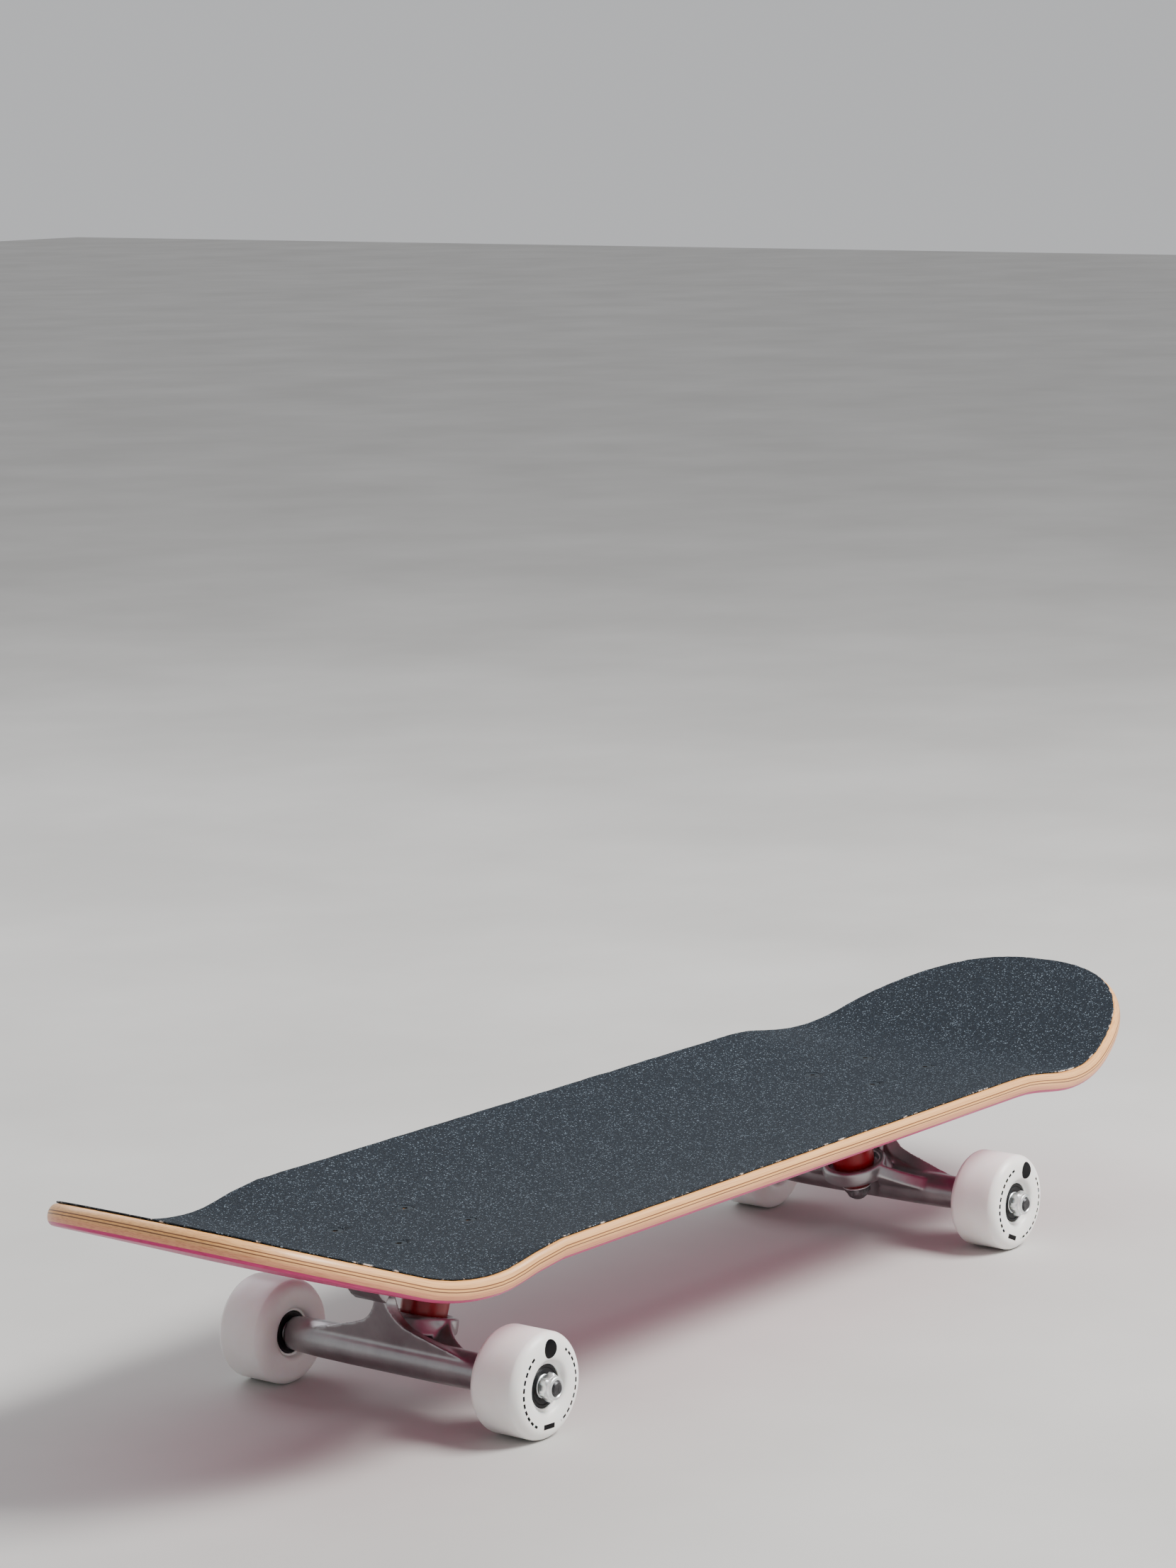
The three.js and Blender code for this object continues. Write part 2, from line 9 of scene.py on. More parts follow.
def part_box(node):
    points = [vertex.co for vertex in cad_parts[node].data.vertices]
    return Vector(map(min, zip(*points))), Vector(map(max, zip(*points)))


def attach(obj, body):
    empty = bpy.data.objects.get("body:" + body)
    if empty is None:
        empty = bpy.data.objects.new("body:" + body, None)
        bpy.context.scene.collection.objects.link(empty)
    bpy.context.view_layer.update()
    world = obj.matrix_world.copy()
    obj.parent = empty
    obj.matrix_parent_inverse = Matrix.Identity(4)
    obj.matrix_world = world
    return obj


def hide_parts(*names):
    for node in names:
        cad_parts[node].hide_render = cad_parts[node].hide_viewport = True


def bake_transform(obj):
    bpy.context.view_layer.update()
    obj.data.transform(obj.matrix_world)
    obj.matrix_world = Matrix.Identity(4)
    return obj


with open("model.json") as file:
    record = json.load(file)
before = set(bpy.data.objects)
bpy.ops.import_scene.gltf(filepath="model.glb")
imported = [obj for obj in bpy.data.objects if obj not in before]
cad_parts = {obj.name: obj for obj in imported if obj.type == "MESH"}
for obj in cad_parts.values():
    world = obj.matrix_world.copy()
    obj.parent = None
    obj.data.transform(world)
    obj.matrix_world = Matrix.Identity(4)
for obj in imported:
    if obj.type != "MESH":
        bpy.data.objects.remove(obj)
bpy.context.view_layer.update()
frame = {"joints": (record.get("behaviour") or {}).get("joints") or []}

# Deck: seven maple plies glued and pressed in a mould, cut to shape, and the edge routed round.
# The bottom ply is dyed magenta and lacquered. The others stay natural, with two thin dark lines.
MM = 0.001
JOINTS = {joint["name"]: joint for joint in frame["joints"]}
deck_low, deck_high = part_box("deck")
DECK_HALF = (deck_high[1] - deck_low[1]) / 2
PLIES = 10.8 * MM
GRIP = 0.8 * MM
GLUE_GAP = 0.3 * MM
DECK_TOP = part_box("grip_tape")[0][2] + GRIP  # the grip's face along the middle of the board
FLAT_STRIP = 12 * MM  # half-width of the flat strip along the middle
CONCAVE = 8.7 * MM  # how far the rails rise above that strip
CONCAVE_POWER = 1.9
CONCAVE_KEPT = 0.25  # share of the rise that is left beyond the bends
BARE_STRIP = 2.6 * MM  # the rails stop rising this far in from the edge
EDGE_ROUND = 3.6 * MM
MIDDLE_X = (JOINTS["tail_steer"]["pos_m"][0] + JOINTS["nose_steer"]["pos_m"][0]) / 2
TAIL = {
    "side": -1, "length": 404.4 * MM, "taper": 199.3 * MM, "fullness": 3.25,
    "kick": 253.4 * MM, "radius": 148 * MM, "angle": math.radians(21.3), "fade": (205 * MM, 255 * MM),
}
NOSE = {
    "side": 1, "length": 401.6 * MM, "taper": 172.8 * MM, "fullness": 2.42,
    "kick": 277.4 * MM, "radius": 112 * MM, "angle": math.radians(17.8), "fade": (212 * MM, 275 * MM),
}


def ease(low, high, value):
    t = min(1, max(0, (value - low) / (high - low)))
    return t * t * (3 - 2 * t)


def kick(end, x):
    """Rise and signed slope of the middle line at distance x from the middle of the wheelbase."""
    run = abs(x) - end["kick"]
    arc = end["radius"] * math.sin(end["angle"])
    if run <= 0:
        return 0, 0
    if run < arc:
        slope = math.asin(run / end["radius"])
        return end["radius"] * (1 - math.cos(slope)), slope * end["side"]
    rise = end["radius"] * (1 - math.cos(end["angle"])) + (run - arc) * math.tan(end["angle"])
    return rise, end["angle"] * end["side"]


def concave(end, x, y):
    """Rise of the dished rails above the middle line."""
    across = max(0, abs(y) - FLAT_STRIP) / (DECK_HALF - BARE_STRIP - FLAT_STRIP)
    start, stop = end["fade"]
    past_bend = 1 - (1 - CONCAVE_KEPT) * ease(start, stop, abs(x))
    past_kick = 1 - ease(stop, end["length"], abs(x))
    return CONCAVE * past_bend * past_kick * across ** CONCAVE_POWER


def board_point(x, y, depth):
    """A point of the pressed board over plan position (x, y), sunk by depth below the grip's face."""
    end = NOSE if x > 0 else TAIL
    rise, slope = kick(end, x)
    z = DECK_TOP + rise + concave(end, x, y) - depth * math.cos(slope)
    return Vector((MIDDLE_X + x + depth * math.sin(slope), y, z))


def quarter_arc(end, steps=60):
    """A quarter of the rounded end, from its tip to where the straight rail starts."""
    power = 2 / end["fullness"]
    points = []
    for i in range(steps + 1):
        angle = i / steps * math.pi / 2
        reach = end["taper"] * math.cos(angle) ** power
        x = end["length"] - end["taper"] + reach
        points.append((end["side"] * x, DECK_HALF * math.sin(angle) ** power))
    return points


def outline(inset, wobble=0.0, rail_steps=48, wobble_scale=260):
    """The board's plan outline once round, drawn in from its edge by inset."""
    nose, tail = quarter_arc(NOSE), quarter_arc(TAIL)
    rail = [(nose[-1][0] + (tail[-1][0] - nose[-1][0]) * i / rail_steps, DECK_HALF)
            for i in range(1, rail_steps)]
    side = nose + rail + tail[::-1]
    loop = side + [(x, -y) for x, y in side[-2:0:-1]]
    result = []
    for i, (x, y) in enumerate(loop):
        before, after = Vector(loop[i - 1]), Vector(loop[(i + 1) % len(loop)])
        along = (after - before).normalized()
        shift = inset + wobble * noise.noise(Vector((x, y, 0)) * wobble_scale)
        result.append((x - along.y * shift, y + along.x * shift))
    return result


def new_object(name, bm, smooth=True):
    mesh = bpy.data.meshes.new(name)
    bm.to_mesh(mesh)
    bm.free()
    mesh.polygons.foreach_set("use_smooth", [smooth] * len(mesh.polygons))
    piece = bpy.data.objects.new(name, mesh)
    bpy.context.scene.collection.objects.link(piece)
    return piece


def board_sheet(name, top, bottom, rim, wobble=0.0):
    """A closed sheet of the board: a ring on the middle line is extruded out to the rim and back."""
    spine_share = 0.93
    rows = 22
    shares = [(i / rows) ** 0.9 for i in range(rows)]
    flat_rim = outline(EDGE_ROUND)

    def row(share, depth):
        points = []
        for x, y in flat_rim:
            inner = x * spine_share
            points.append(board_point(inner + (x - inner) * share, y * share, depth))
        return points

    loops = [(row(share, top), top) for share in shares]
    for inset, depth in rim:
        loops.append(([board_point(x, y, depth) for x, y in outline(inset, wobble)], depth))
    loops += [(row(share, bottom), bottom) for share in reversed(shares)]
    bm = bmesh.new()
    depth_layer = bm.verts.layers.float.new("ply_depth")
    first, first_depth = loops[0]
    ring = [bm.verts.new(point) for point in first]
    edges = [bm.edges.new((vert, ring[(i + 1) % len(ring)])) for i, vert in enumerate(ring)]
    for vert in ring:
        vert[depth_layer] = first_depth
    for points, depth in loops[1:]:
        made = bmesh.ops.extrude_edge_only(bm, edges=edges)["geom"]
        edges = [item for item in made if isinstance(item, bmesh.types.BMEdge)]
        edges = [edge for edge in edges if len(edge.link_faces) == 1]
        partner = {}
        for vert in ring:
            for edge in vert.link_edges:
                other = edge.other_vert(vert)
                new = other not in partner and len(edge.link_faces) == 2
                if new and (other.co - vert.co).length < 1e-9:
                    partner[vert] = other
        ring = [partner[vert] for vert in ring]
        for vert, point in zip(ring, points):
            vert.co = point
            vert[depth_layer] = depth
    bmesh.ops.remove_doubles(bm, verts=bm.verts, dist=1e-6)
    bmesh.ops.recalc_face_normals(bm, faces=bm.faces)
    return new_object(name, bm)


def material(name, colour, roughness, metallic=0.0):
    """A new material with the values that are the same all over, and its node tools."""
    made = bpy.data.materials.new(name)
    made.use_nodes = True
    tree = made.node_tree
    shader = tree.nodes["Principled BSDF"]
    shader.inputs["Base Color"].default_value = (*colour, 1)
    shader.inputs["Roughness"].default_value = roughness
    shader.inputs["Metallic"].default_value = metallic
    return made, tree, shader


def node(tree, kind, **values):
    """Adds a node. Plain values set its properties; names of sockets set or link its inputs."""
    made = tree.nodes.new(kind)
    for key, value in values.items():
        if hasattr(made, key) and key not in made.inputs:
            setattr(made, key, value)
            continue
        socket = made.inputs[int(key[1:])] if key[0] == "i" and key[1:].isdigit() else made.inputs[key]
        if isinstance(value, bpy.types.NodeSocket):
            tree.links.new(value, socket)
        else:
            socket.default_value = value
    return made


def math_node(tree, operation, a, b=0.0, c=0.0):
    return node(tree, "ShaderNodeMath", operation=operation, i0=a, i1=b, i2=c).outputs[0]


def stretched(tree, scale):
    """Object coordinates, in metres, multiplied by a scale on each axis."""
    coords = node(tree, "ShaderNodeTexCoord").outputs["Object"]
    return node(tree, "ShaderNodeMapping", Vector=coords, Scale=scale).outputs[0]


def noise_at(tree, vector, scale=1.0, detail=4.0, roughness=0.55):
    made = node(tree, "ShaderNodeTexNoise", Vector=vector, Scale=scale, Detail=detail, Roughness=roughness)
    return made.outputs["Fac"]


def ramp(tree, fac, stops):
    made = node(tree, "ShaderNodeValToRGB", Fac=fac)
    elements = made.color_ramp.elements
    while len(elements) < len(stops):
        elements.new(0.5)
    for element, (place, colour) in zip(elements, stops):
        element.position = place
        element.color = (*colour, 1)
    return made.outputs["Color"]


def mix(tree, fac, a, b, blend="MIX"):
    made = node(tree, "ShaderNodeMix", data_type="RGBA", blend_type=blend)
    for socket, value in ((made.inputs[0], fac), (made.inputs[6], a), (made.inputs[7], b)):
        if isinstance(value, bpy.types.NodeSocket):
            tree.links.new(value, socket)
        else:
            socket.default_value = value if isinstance(value, float) else (*value, 1)
    return made.outputs[2]


def bump(tree, shader, height, strength, distance):
    made = node(tree, "ShaderNodeBump", Height=height, Strength=strength, Distance=distance)
    tree.links.new(made.outputs[0], shader.inputs["Normal"])


def plywood():
    """Bands of colour through the thickness, from the grip down, with grain along the board. The orange
    band at the very top is a painted highlight on the rounded edge; the same orange is a real ply line
    lower down.
    """
    cream, highlight_and_honey, brown = (0.86, 0.46, 0.18), (0.92, 0.44, 0.12), (0.17, 0.065, 0.027)
    rose, magenta = (0.78, 0.33, 0.17), (0.56, 0.0, 0.145)
    made, tree, shader = material("maple_plies", cream, 0.48)
    shader.inputs["Coat Weight"].default_value = 0.25
    shader.inputs["Coat Roughness"].default_value = 0.2
    depth = node(tree, "ShaderNodeAttribute", attribute_name="ply_depth").outputs["Fac"]
    share = math_node(tree, "DIVIDE", math_node(tree, "SUBTRACT", depth, GRIP + GLUE_GAP), PLIES)
    waver = noise_at(tree, stretched(tree, (18, 18, 18)), detail=2.0)
    waver = math_node(tree, "MULTIPLY", math_node(tree, "SUBTRACT", waver, 0.5), 0.03)
    share = math_node(tree, "ADD", share, waver)
    # The first stop paints a highlight along the top of the rounded edge. The orange stop after the first
    # brown line is a real ply line.
    bands = ramp(tree, share, [
        (0.0, highlight_and_honey), (0.08, cream), (0.32, cream), (0.345, brown), (0.377, brown), (0.39, highlight_and_honey),
        (0.46, cream), (0.482, brown), (0.513, brown), (0.53, cream), (0.70, rose), (0.845, rose),
        (0.86, magenta), (1.0, magenta)])
    streak_place = node(tree, "ShaderNodeCombineXYZ")
    coords = node(tree, "ShaderNodeSeparateXYZ", Vector=node(tree, "ShaderNodeTexCoord").outputs["Object"])
    tree.links.new(math_node(tree, "MULTIPLY", coords.outputs[0], 22.0), streak_place.inputs[0])
    tree.links.new(math_node(tree, "MULTIPLY", coords.outputs[1], 260.0), streak_place.inputs[1])
    tree.links.new(math_node(tree, "MULTIPLY", depth, 3200.0), streak_place.inputs[2])
    streak = noise_at(tree, streak_place.outputs[0], detail=5.0, roughness=0.65)
    grain = ramp(tree, streak, [
        (0.36, (0.60, 0.47, 0.38)), (0.55, (1.0, 1.0, 1.0)), (0.72, (1.0, 0.96, 0.88))])
    colour = mix(tree, 0.75, bands, grain, "MULTIPLY")
    tree.links.new(colour, shader.inputs["Base Color"])
    roughness = math_node(tree, "MULTIPLY_ADD", streak, 0.25, 0.33)
    tree.links.new(roughness, shader.inputs["Roughness"])
    bump(tree, shader, streak, 0.25, 0.0002)
    return made


def rounded_rim(top, thickness, inset, steps):
    """(inset, depth) pairs round the edge, from its top rim out and down to its bottom rim."""
    rim = []
    for i in range(steps + 1):
        turn = i / steps * math.pi
        rim.append((inset * (1 - math.sin(turn)), top + thickness / 2 * (1 - math.cos(turn))))
    return rim


WOOD_TOP = GRIP + GLUE_GAP
deck = board_sheet("pressed_deck", WOOD_TOP, WOOD_TOP + PLIES, rounded_rim(WOOD_TOP, PLIES, EDGE_ROUND, 18))
deck.data.materials.append(plywood())
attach(deck, "root")
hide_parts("deck")

# Grip tape: silicon carbide grit on a black cloth, stuck over the whole top and trimmed by knife.
# The trimmed edge is a little ragged and shows pale filed grit here and there.
GRIP_INSET = 2.9 * MM
BOLTS = [f"{end}_{row}_{hand}"
         for end in ("tail", "nose") for row in ("inner", "outer") for hand in ("left", "right")]
HEAD_RADIUS = 4.4 * MM
HOLE_RADIUS = HEAD_RADIUS + 0.1 * MM


def centre_of(cad_node):
    low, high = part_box(cad_node)
    return (Vector(low) + Vector(high)) / 2


def finished(piece):
    """Applies a piece's modifiers to its mesh."""
    depsgraph = bpy.context.evaluated_depsgraph_get()
    mesh = bpy.data.meshes.new_from_object(piece.evaluated_get(depsgraph))
    piece.modifiers.clear()
    piece.data = mesh
    return piece


def carve(piece, cutter, operation="DIFFERENCE"):
    """Cuts another object out of a piece, or joins it on, and uses it up."""
    tool = piece.modifiers.new("carve", "BOOLEAN")
    tool.operation = operation
    tool.solver = "EXACT"
    tool.object = cutter
    finished(piece)
    bpy.data.objects.remove(cutter)
    return piece


def grip_grit():
    """Dark blue-black grit with painted glints on a few grains, and pale chips where the rim was filed."""
    made, tree, shader = material("grip_grit", (0.03, 0.038, 0.05), 0.8)
    shader.inputs["Specular IOR Level"].default_value = 0.22
    fine = stretched(tree, (1, 1, 1))
    grit = node(tree, "ShaderNodeTexVoronoi", Vector=fine, Scale=1900.0)
    speck = node(tree, "ShaderNodeSeparateColor", Color=grit.outputs["Color"])
    mottle = noise_at(tree, fine, 900.0, 3.0)
    cloud = noise_at(tree, fine, 35.0, 3.0)
    base = ramp(tree, mottle, [
        (0.3, (0.0015, 0.003, 0.006)), (0.55, (0.0055, 0.010, 0.017)), (0.75, (0.020, 0.032, 0.047))])
    base = mix(tree, math_node(tree, "MULTIPLY", cloud, 0.35), base, (0.008, 0.014, 0.022))
    # Painted glints: a few grains get a pale blue-white colour that stands in for light glancing off the
    # grit.
    painted_glints = ramp(tree, speck.outputs[0], [(0.93, (0, 0, 0)), (0.985, (1, 1, 1))])
    colour = mix(tree, math_node(tree, "MULTIPLY", painted_glints, 0.38), base, (0.42, 0.52, 0.62))
    rim = node(tree, "ShaderNodeAttribute", attribute_name="filed").outputs["Fac"]
    chips = ramp(tree, noise_at(tree, fine, 120.0, 5.0, 0.7), [(0.56, (0, 0, 0)), (0.62, (1, 1, 1))])
    colour = mix(tree, math_node(tree, "MULTIPLY", rim, chips), colour, (0.62, 0.54, 0.48))
    tree.links.new(colour, shader.inputs["Base Color"])
    rough = math_node(tree, "MULTIPLY_ADD", speck.outputs[1], -0.35, 0.85)
    tree.links.new(rough, shader.inputs["Roughness"])
    height = math_node(tree, "ADD", grit.outputs["Distance"], math_node(tree, "MULTIPLY", mottle, 0.6))
    bump(tree, shader, height, 0.6, 0.0004)
    return made


grip = board_sheet("grip_sheet", 0, GRIP, [
    (EDGE_ROUND, 0), (GRIP_INSET + 0.5 * MM, 0), (GRIP_INSET, 0.15 * MM), (GRIP_INSET, GRIP),
    (EDGE_ROUND, GRIP)], wobble=0.5 * MM)
filed = grip.data.attributes.new("filed", "FLOAT", "POINT")
for vert in grip.data.vertices:
    depth = grip.data.attributes["ply_depth"].data[vert.index].value
    filed.data[vert.index].value = 1.0 if 0.1 * MM < depth < GRIP * 1.01 else 0.0
holes = bmesh.new()
for bolt in BOLTS:
    place = centre_of(f"{bolt}_bolt")
    place.z = DECK_TOP
    bmesh.ops.create_cone(holes, cap_ends=True, segments=40, radius1=HOLE_RADIUS, radius2=HOLE_RADIUS,
                          depth=6 * MM, matrix=Matrix.Translation(place))
carve(grip, new_object("grip_holes", holes))
grip.data.materials.append(grip_grit())
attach(grip, "root")
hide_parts("grip_tape")

# Mounting hardware: eight black countersunk machine screws with a hex socket, drawn down flush
# with the grip, and a lock nut with a nylon collar on each under the baseplate.
THREAD_PITCH = 0.8 * MM
THREAD_DEPTH = 0.35 * MM
SHANK = 2.4 * MM
HEAD_SINK = 0.12 * MM  # how far the heads lie below the grip
SOCKET_CORNER = 2.0 * MM
SOCKET_FLAT = 1.7 * MM
SEGMENTS = 72


def turned(profile, matrix=Matrix(), bm=None, segments=SEGMENTS):
    """A profile of (radius, height) spun once about Z. It starts and ends on the axis or on itself."""
    made = bmesh.new()
    closed = profile[0][0] > 1e-9
    verts = [made.verts.new((radius, 0, height)) for radius, height in profile]
    edges = [made.edges.new(pair) for pair in zip(verts, verts[1:])]
    if closed:
        edges.append(made.edges.new((verts[-1], verts[0])))
    bmesh.ops.spin(made, geom=verts + edges, cent=(0, 0, 0), axis=(0, 0, 1), angle=2 * math.pi,
                   steps=segments, use_merge=True)
    bmesh.ops.remove_doubles(made, verts=made.verts, dist=1e-7)
    bmesh.ops.dissolve_degenerate(made, edges=made.edges, dist=1e-8)
    bmesh.ops.recalc_face_normals(made, faces=made.faces)
    made.transform(matrix)
    if bm is None:
        return made
    copy = bpy.data.meshes.new("part")
    made.to_mesh(copy)
    made.free()
    bm.from_mesh(copy)
    bpy.data.meshes.remove(copy)
    return bm


def add_sharp_edges(piece, degrees=35):
    """Keeps edges sharper than the angle crisp under smooth shading."""
    bm = bmesh.new()
    bm.from_mesh(piece.data)
    for edge in bm.edges:
        edge.smooth = edge.calc_face_angle(0) < math.radians(degrees)
    bm.to_mesh(piece.data)
    bm.free()
    return piece


def hex_reach(vert, flat):
    """How far a hexagon's side is from the axis in a vertex's direction."""
    angle = math.atan2(vert.co.y, vert.co.x) % (math.pi / 3) - math.pi / 6
    return flat / math.cos(angle)


def make_hex(bm, flats, low, high):
    """Draws the points between two heights in to a hexagon, so its corners stay chamfered."""
    for vert in bm.verts:
        if not low - 1e-7 <= vert.co.z <= high + 1e-7:
            continue
        radius = vert.co.xy.length
        if radius < 1e-6:
            continue
        limit = hex_reach(vert, flats / 2)
        if radius > limit:
            vert.co.xy *= limit / radius
    return bm


def mottled(made, tree, shader, grain, stops, gloss, relief):
    """Lets one noise of (scale, detail) drive a material's colour, roughness and fine relief."""
    cloud = noise_at(tree, stretched(tree, (1, 1, 1)), *grain)
    tree.links.new(ramp(tree, cloud, stops), shader.inputs["Base Color"])
    tree.links.new(math_node(tree, "MULTIPLY_ADD", cloud, *gloss), shader.inputs["Roughness"])
    bump(tree, shader, cloud, *relief)
    return made


def steel_black():
    return mottled(*material("black_steel", (0.022, 0.022, 0.024), 0.36, 0.75), grain=(420.0, 4.0),
                   stops=[(0.35, (0.03, 0.03, 0.033)), (0.75, (0.09, 0.09, 0.095))],
                   gloss=(0.3, 0.24), relief=(0.2, 0.0001))


def lock_nut(flats, bore, height, collar):
    """A hex nut standing on z = 0, chamfered, with a rolled collar over its nylon ring."""
    corner = flats / math.sqrt(3)
    hex_top = height - collar
    bm = turned([
        (bore, 0), (flats * 0.47, 0), (corner * 1.01, corner * 0.1),
        (corner * 1.01, hex_top - corner * 0.12), (flats * 0.49, hex_top),
        (flats * 0.47, hex_top + 0.05 * MM), (flats * 0.455, height - 0.5 * MM),
        (flats * 0.42, height - 0.1 * MM), (flats * 0.38, height), (bore + 0.4 * MM, height),
        (bore, height - 0.4 * MM)])
    return make_hex(bm, flats, 0, hex_top)


def threaded(radius, low, high, pitch=THREAD_PITCH):
    """The side of a threaded shank as a chain of crests and roots, from low up to high."""
    turns = max(1, round((high - low) / pitch))
    step = (high - low) / turns
    root = radius - THREAD_DEPTH
    chain = []
    for i in range(turns):
        base = low + step * i
        chain += [(root, base), (radius, base + step * 0.4), (radius, base + step * 0.6)]
    return chain + [(root, high)]


def screw_black():
    """The heads are dull with grip dust, so they nearly match the grip."""
    made, tree, shader = material("dusty_black_steel", (0.03, 0.037, 0.045), 0.7)
    shader.inputs["Specular IOR Level"].default_value = 0.25
    return mottled(made, tree, shader, grain=(1400.0, 4.0),
                   stops=[(0.35, (0.008, 0.012, 0.017)), (0.7, (0.03, 0.042, 0.055))],
                   gloss=(0.3, 0.5), relief=(0.4, 0.0002))


BLACK_STEEL = steel_black()
SCREW_BLACK = screw_black()


def place_piece(name, bm, finish, body, replaced, sharp=35):
    """Turns a bmesh into a finished piece with its finish, hangs it on its body and hides the parts it
    replaces.
    """
    piece = add_sharp_edges(new_object(name, bm), sharp)
    piece.data.materials.append(finish)
    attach(piece, body)
    if replaced:
        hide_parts(*replaced)
    return piece


def socket_screw(length):
    """A countersunk screw hanging from z = 0, with a hex socket and a threaded lower half."""
    profile = [(0, -2.4 * MM), (SOCKET_CORNER, -2.2 * MM), (SOCKET_CORNER, -0.25 * MM),
               (SOCKET_CORNER + 0.2 * MM, 0), (HEAD_RADIUS - 0.3 * MM, 0), (HEAD_RADIUS, -0.3 * MM),
               (SHANK, -3.4 * MM)]
    profile += threaded(SHANK, -length + 0.6 * MM, -12 * MM)[::-1] + [(1.6 * MM, -length), (0, -length)]
    screw = turned(profile, segments=48)
    for vert in screw.verts:
        if -2.3 * MM < vert.co.z < -0.2 * MM and 1e-6 < vert.co.xy.length < SOCKET_CORNER * 1.05:
            vert.co.xy *= hex_reach(vert, SOCKET_FLAT) / vert.co.xy.length
    return screw


for bolt in BOLTS:
    low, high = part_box(f"{bolt}_bolt")
    middle = (Vector(low) + Vector(high)) / 2
    screw = socket_screw(high[2] - low[2])
    screw.transform(Matrix.Translation((middle.x, middle.y, high[2] - HEAD_SINK)))
    place_piece(f"{bolt}_screw", screw, SCREW_BLACK, "root", [f"{bolt}_bolt"])
    low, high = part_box(f"{bolt}_nut")
    nut = lock_nut(high[1] - low[1], 2.5 * MM, high[2] - low[2], 1.6 * MM)
    middle = (Vector(low) + Vector(high)) / 2
    nut.transform(Matrix.Translation((middle.x, middle.y, high[2])) @ Matrix.Rotation(math.pi, 4, "X"))
    place_piece(f"{bolt}_lock_nut", nut, BLACK_STEEL, "root", [f"{bolt}_nut"])

# Baseplates: cast aluminium, bolted under the deck. The boss towards the board's middle carries the
# kingpin at a slant, and the box towards the end holds the pivot cup.
ENDS = {"tail": -1, "nose": 1}
LEAN = math.radians(14.3)
RISE = math.radians(38.8)
ON_EDGE = Matrix(((1, 0, 0, 0), (0, 0, -1, 0), (0, 1, 0, 0), (0, 0, 0, 1)))  # stands an outline up
PLATE_LENGTH = 84 * MM
PLATE_WIDTH = 57 * MM
PLATE_CORNER = 9 * MM
PLATE_THICK = 5.5 * MM


def truck_frame(end):
    """Origin in the middle of the truck's bolts on the floor, +X towards the board's end."""
    middle = centre_of(f"{end}_baseplate")
    turn = Matrix.Rotation(math.pi if ENDS[end] < 0 else 0, 4, "Z")
    return Matrix.Translation((middle.x, 0, 0)) @ turn


def ring_offset(end):
    """The middle of the hanger's ring, in the truck's frame."""
    return truck_frame(end).inverted() @ Vector(JOINTS[f"{end}_steer"]["pos_m"])


def kingpin_frame(end):
    """Origin in the ring, +Z up along the leaning kingpin."""
    return truck_frame(end) @ Matrix.Translation(ring_offset(end)) @ Matrix.Rotation(-LEAN, 4, "Y")


def pivot_frame(end):
    """Origin in the ring, +Z along the steering axis to the pivot cup."""
    slant = Matrix.Rotation(math.pi / 2 - RISE, 4, "Y")
    return truck_frame(end) @ Matrix.Translation(ring_offset(end)) @ slant


def add_part(bm, part, matrix):
    """Moves a closed part into place and adds it to a bmesh."""
    bmesh.ops.triangulate(part, faces=part.faces)
    bmesh.ops.recalc_face_normals(part, faces=part.faces)
    part.transform(matrix)
    copy = bpy.data.meshes.new("part")
    part.to_mesh(copy)
    part.free()
    bm.from_mesh(copy)
    bpy.data.meshes.remove(copy)
    return bm


def extruded(bm, points, thickness, matrix, bevel=0.0):
    """A flat outline in XY, given a thickness evenly to both sides, and placed by a matrix."""
    part = bmesh.new()
    face = part.faces.new([part.verts.new((x, y, -thickness / 2)) for x, y in points])
    grown = bmesh.ops.extrude_face_region(part, geom=[face])["geom"]
    top = [item for item in grown if isinstance(item, bmesh.types.BMVert)]
    bmesh.ops.translate(part, verts=top, vec=(0, 0, thickness))
    bmesh.ops.recalc_face_normals(part, faces=part.faces)
    if bevel:
        crisp = [edge for edge in part.edges if edge.calc_face_angle(0) > math.radians(30)]
        bmesh.ops.bevel(part, geom=crisp, offset=bevel, segments=3, profile=0.5, affect="EDGES",
                        material=-1)
    return add_part(bm, part, matrix)


def in_mm(points):
    return [(x * MM, y * MM) for x, y in points]


def fuse(piece, voxel):
    """Melts overlapping shells into one skin."""
    remesh = piece.modifiers.new("fuse", "REMESH")
    remesh.mode = "VOXEL"
    remesh.voxel_size = voxel
    return finished(piece)


def place_casting(piece, body, replaced):
    """Gives a casting its metal, hangs it on its body and hides the part it replaces."""
    piece.data.materials.clear()
    piece.data.materials.append(CAST)
    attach(piece, body)
    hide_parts(replaced)


def aluminium():
    """Tumbled grey metal: slow clouds in colour and gloss, and fine pits."""
    made, tree, shader = material("cast_aluminium", (0.56, 0.56, 0.565), 0.4, 1.0)
    place = stretched(tree, (1, 1, 1))
    haze = noise_at(tree, place, 60.0, 5.0, 0.6)
    pits = noise_at(tree, place, 1500.0, 3.0)
    colour = ramp(tree, haze, [(0.3, (0.33, 0.325, 0.335)), (0.7, (0.46, 0.455, 0.46))])
    tree.links.new(colour, shader.inputs["Base Color"])
    rough = math_node(tree, "MULTIPLY_ADD", haze, 0.2, 0.2)
    rough = math_node(tree, "MULTIPLY_ADD", pits, 0.12, rough)
    tree.links.new(rough, shader.inputs["Roughness"])
    bump(tree, shader, pits, 0.22, 0.00012)
    return made


def rounded_plan(length, width, corner):
    """A rectangle's outline with round corners."""
    plan = []
    for quarter, (sx, sy) in enumerate(((1, 1), (-1, 1), (-1, -1), (1, -1))):
        middle = Vector((sx * (length / 2 - corner), sy * (width / 2 - corner)))
        for i in range(9):
            angle = (quarter + i / 8) * math.pi / 2
            plan.append(middle + corner * Vector((math.cos(angle), math.sin(angle))))
    return plan


